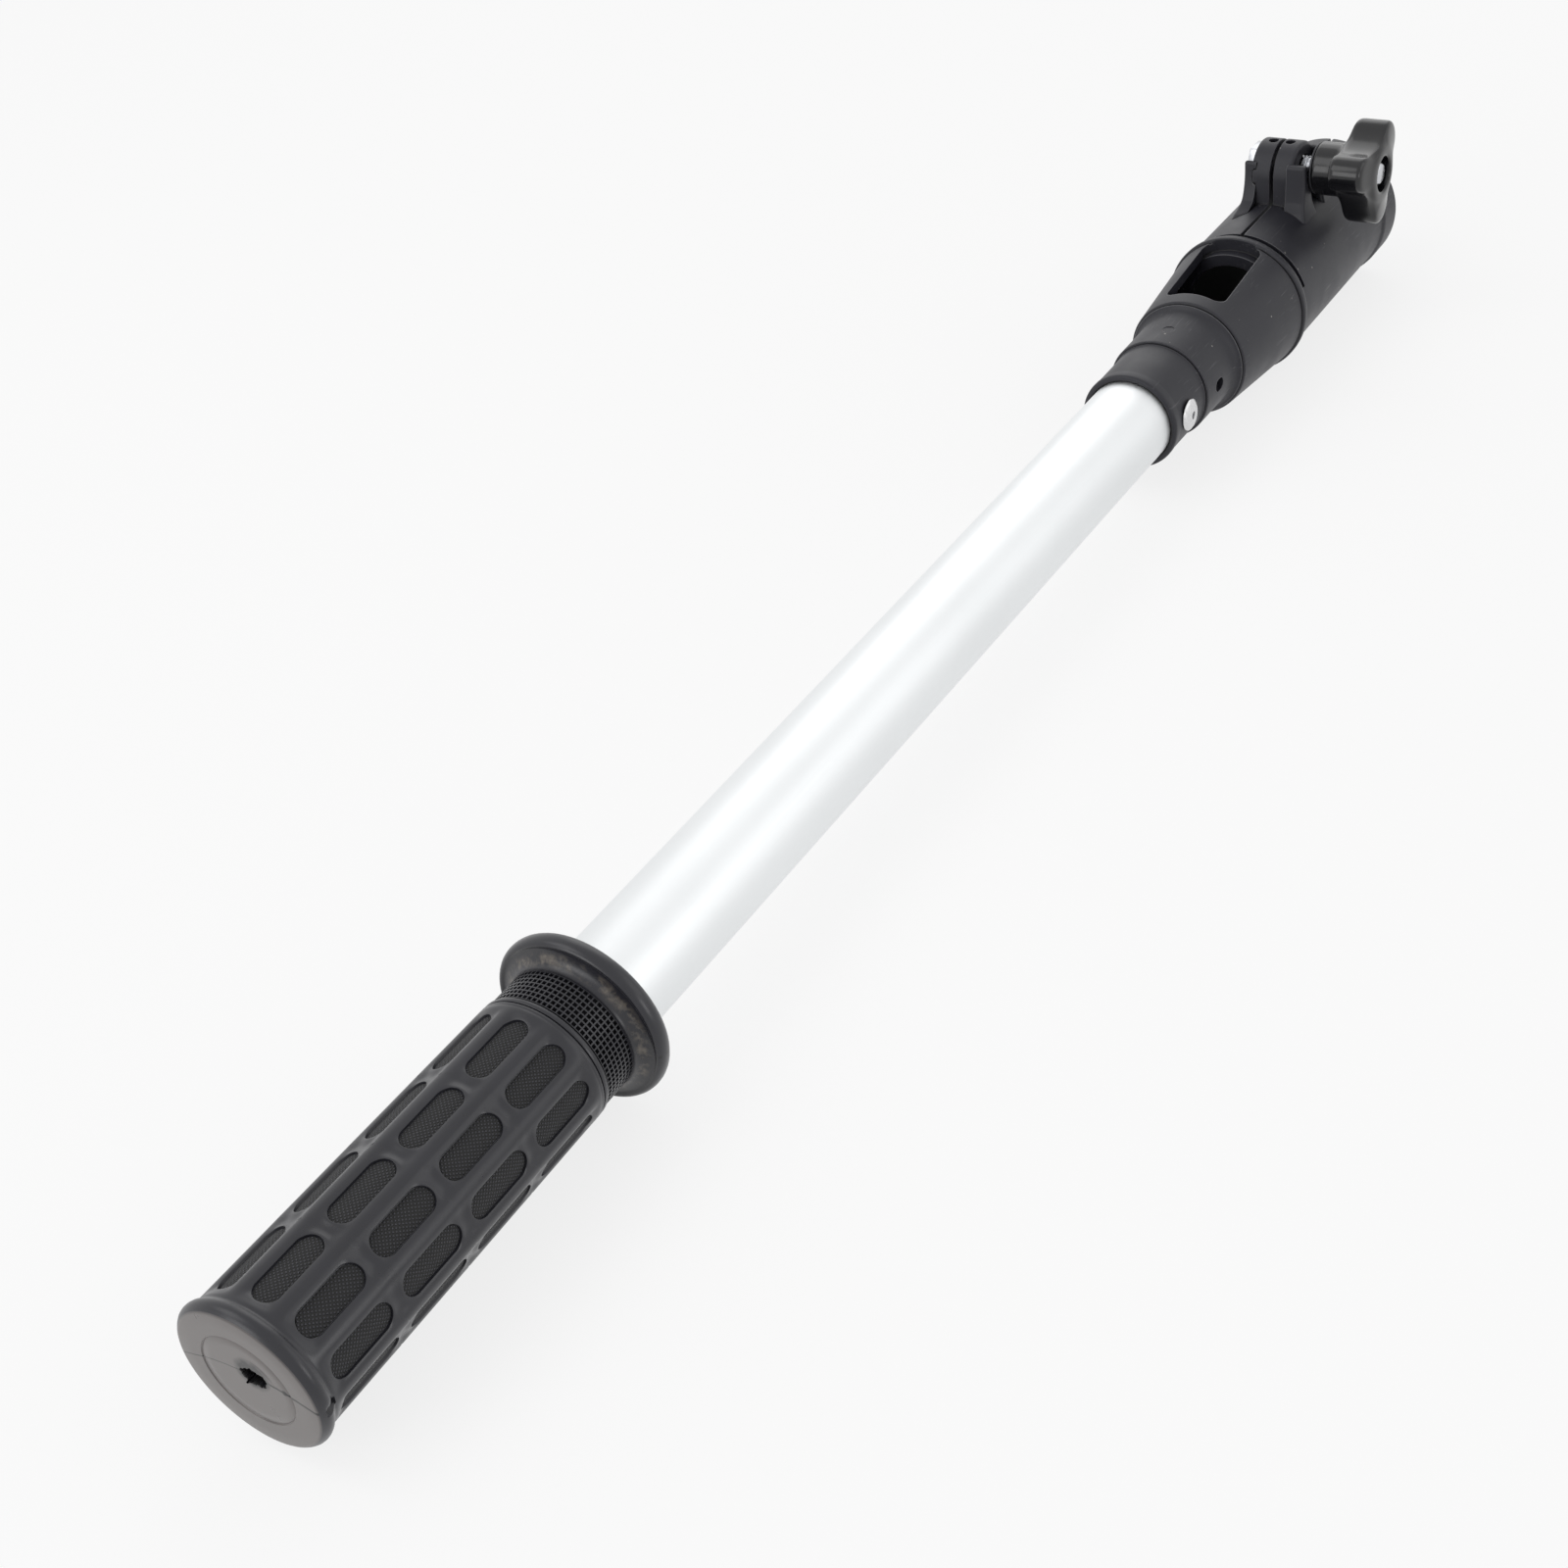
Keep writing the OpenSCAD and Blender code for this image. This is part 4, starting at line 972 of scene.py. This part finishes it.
# Floor, light and camera
def build_floor():
    """White sweep under the part, four fifths plain white where it is seen, so that it keeps a soft shadow"""
    bm = bmesh.new()
    bmesh.ops.create_grid(bm, x_segments=2, y_segments=2, size=6.0)
    bmesh.ops.translate(bm, vec=(0, 0, -25.8 * MM), verts=bm.verts)
    material, tree, shader = new_material("white paper sweep")
    shader.inputs["Base Color"].default_value = linear("#ffffff")
    shader.inputs["Roughness"].default_value = 0.9
    shader.inputs["Specular IOR Level"].default_value = 0.0
    white = add(tree, "Emission", {"Color": (1, 1, 1, 1), "Strength": 1.0})
    share = add(tree, "Math", {0: seen_directly(tree), 1: 0.8}, operation="MULTIPLY")
    mix = add(tree, "MixShader", {0: share.outputs[0], 1: shader.outputs[0], 2: white.outputs[0]})
    output = next(n for n in tree.nodes if n.bl_idname == "ShaderNodeOutputMaterial")
    tree.links.new(mix.outputs[0], output.inputs["Surface"])
    floor = finish_mesh(bm, "floor", material)


def build_light():
    """White room, and lamps that lift the tube, the collar's top and the grip's closed end"""
    world = bpy.data.worlds.new("studio")
    bpy.context.scene.world = world
    world.use_nodes = True
    tree = world.node_tree
    tree.nodes.clear()
    soft = add(tree, "Background", {"Color": (1, 1, 1, 1), "Strength": 0.5})
    white = add(tree, "Background", {"Color": (1, 1, 1, 1), "Strength": 1.0})
    mix = add(tree, "MixShader", {0: seen_directly(tree), 1: soft.outputs[0], 2: white.outputs[0]})
    add(tree, "OutputWorld", {"Surface": mix.outputs[0]})
    for name, place, aim, size, power in (
            ("back", (1.2, 0.5, 0.9), (-0.2, 0, 0), 1.2, 3.8),
            ("side", (0.24, -0.9, 0.5), (-0.4, 0, 0), 0.7, 0.8),
            ("low", (-0.3, -0.95, 0.15), (-0.5, 0, 0), 0.3, 0.8),
            ("top", (-0.9, 0.75, 1.25), (-0.3, 0, 0), 0.9, 3.6),
            ("end", (-1.75, 0.45, 0.6), (-0.5, 0, 0), 0.8, 4.2)):
        lamp = bpy.data.lights.new(name, "AREA")
        lamp.size = size
        lamp.energy = power
        holder = bpy.data.objects.new(name, lamp)
        holder.location = place
        holder.rotation_euler = (Vector(aim) - Vector(place)).to_track_quat("-Z", "Y").to_euler()
        holder.visible_camera = False
        bpy.context.scene.collection.objects.link(holder)


def build_camera():
    """Camera placed and aimed as the photograph's own"""
    lens = bpy.data.cameras.new("camera")
    lens.sensor_width = 36
    lens.lens = 54.674
    lens.clip_start = 0.01
    right, up, ahead = (Vector((0.522852, -0.841357, -0.136906)), Vector((0.565205, 0.221954, 0.794531)),
                        Vector((0.638098, 0.492803, -0.591588)))
    holder = bpy.data.objects.new("camera", lens)
    holder.matrix_world = Matrix.Translation((-0.777080, -0.325179, 0.394474)) @ Matrix(
        (right, up, -ahead)).transposed().to_4x4()
    bpy.context.scene.collection.objects.link(holder)
    bpy.context.scene.camera = holder


build_floor()
build_light()
build_camera()
bpy.context.scene.view_settings.view_transform = "Standard"
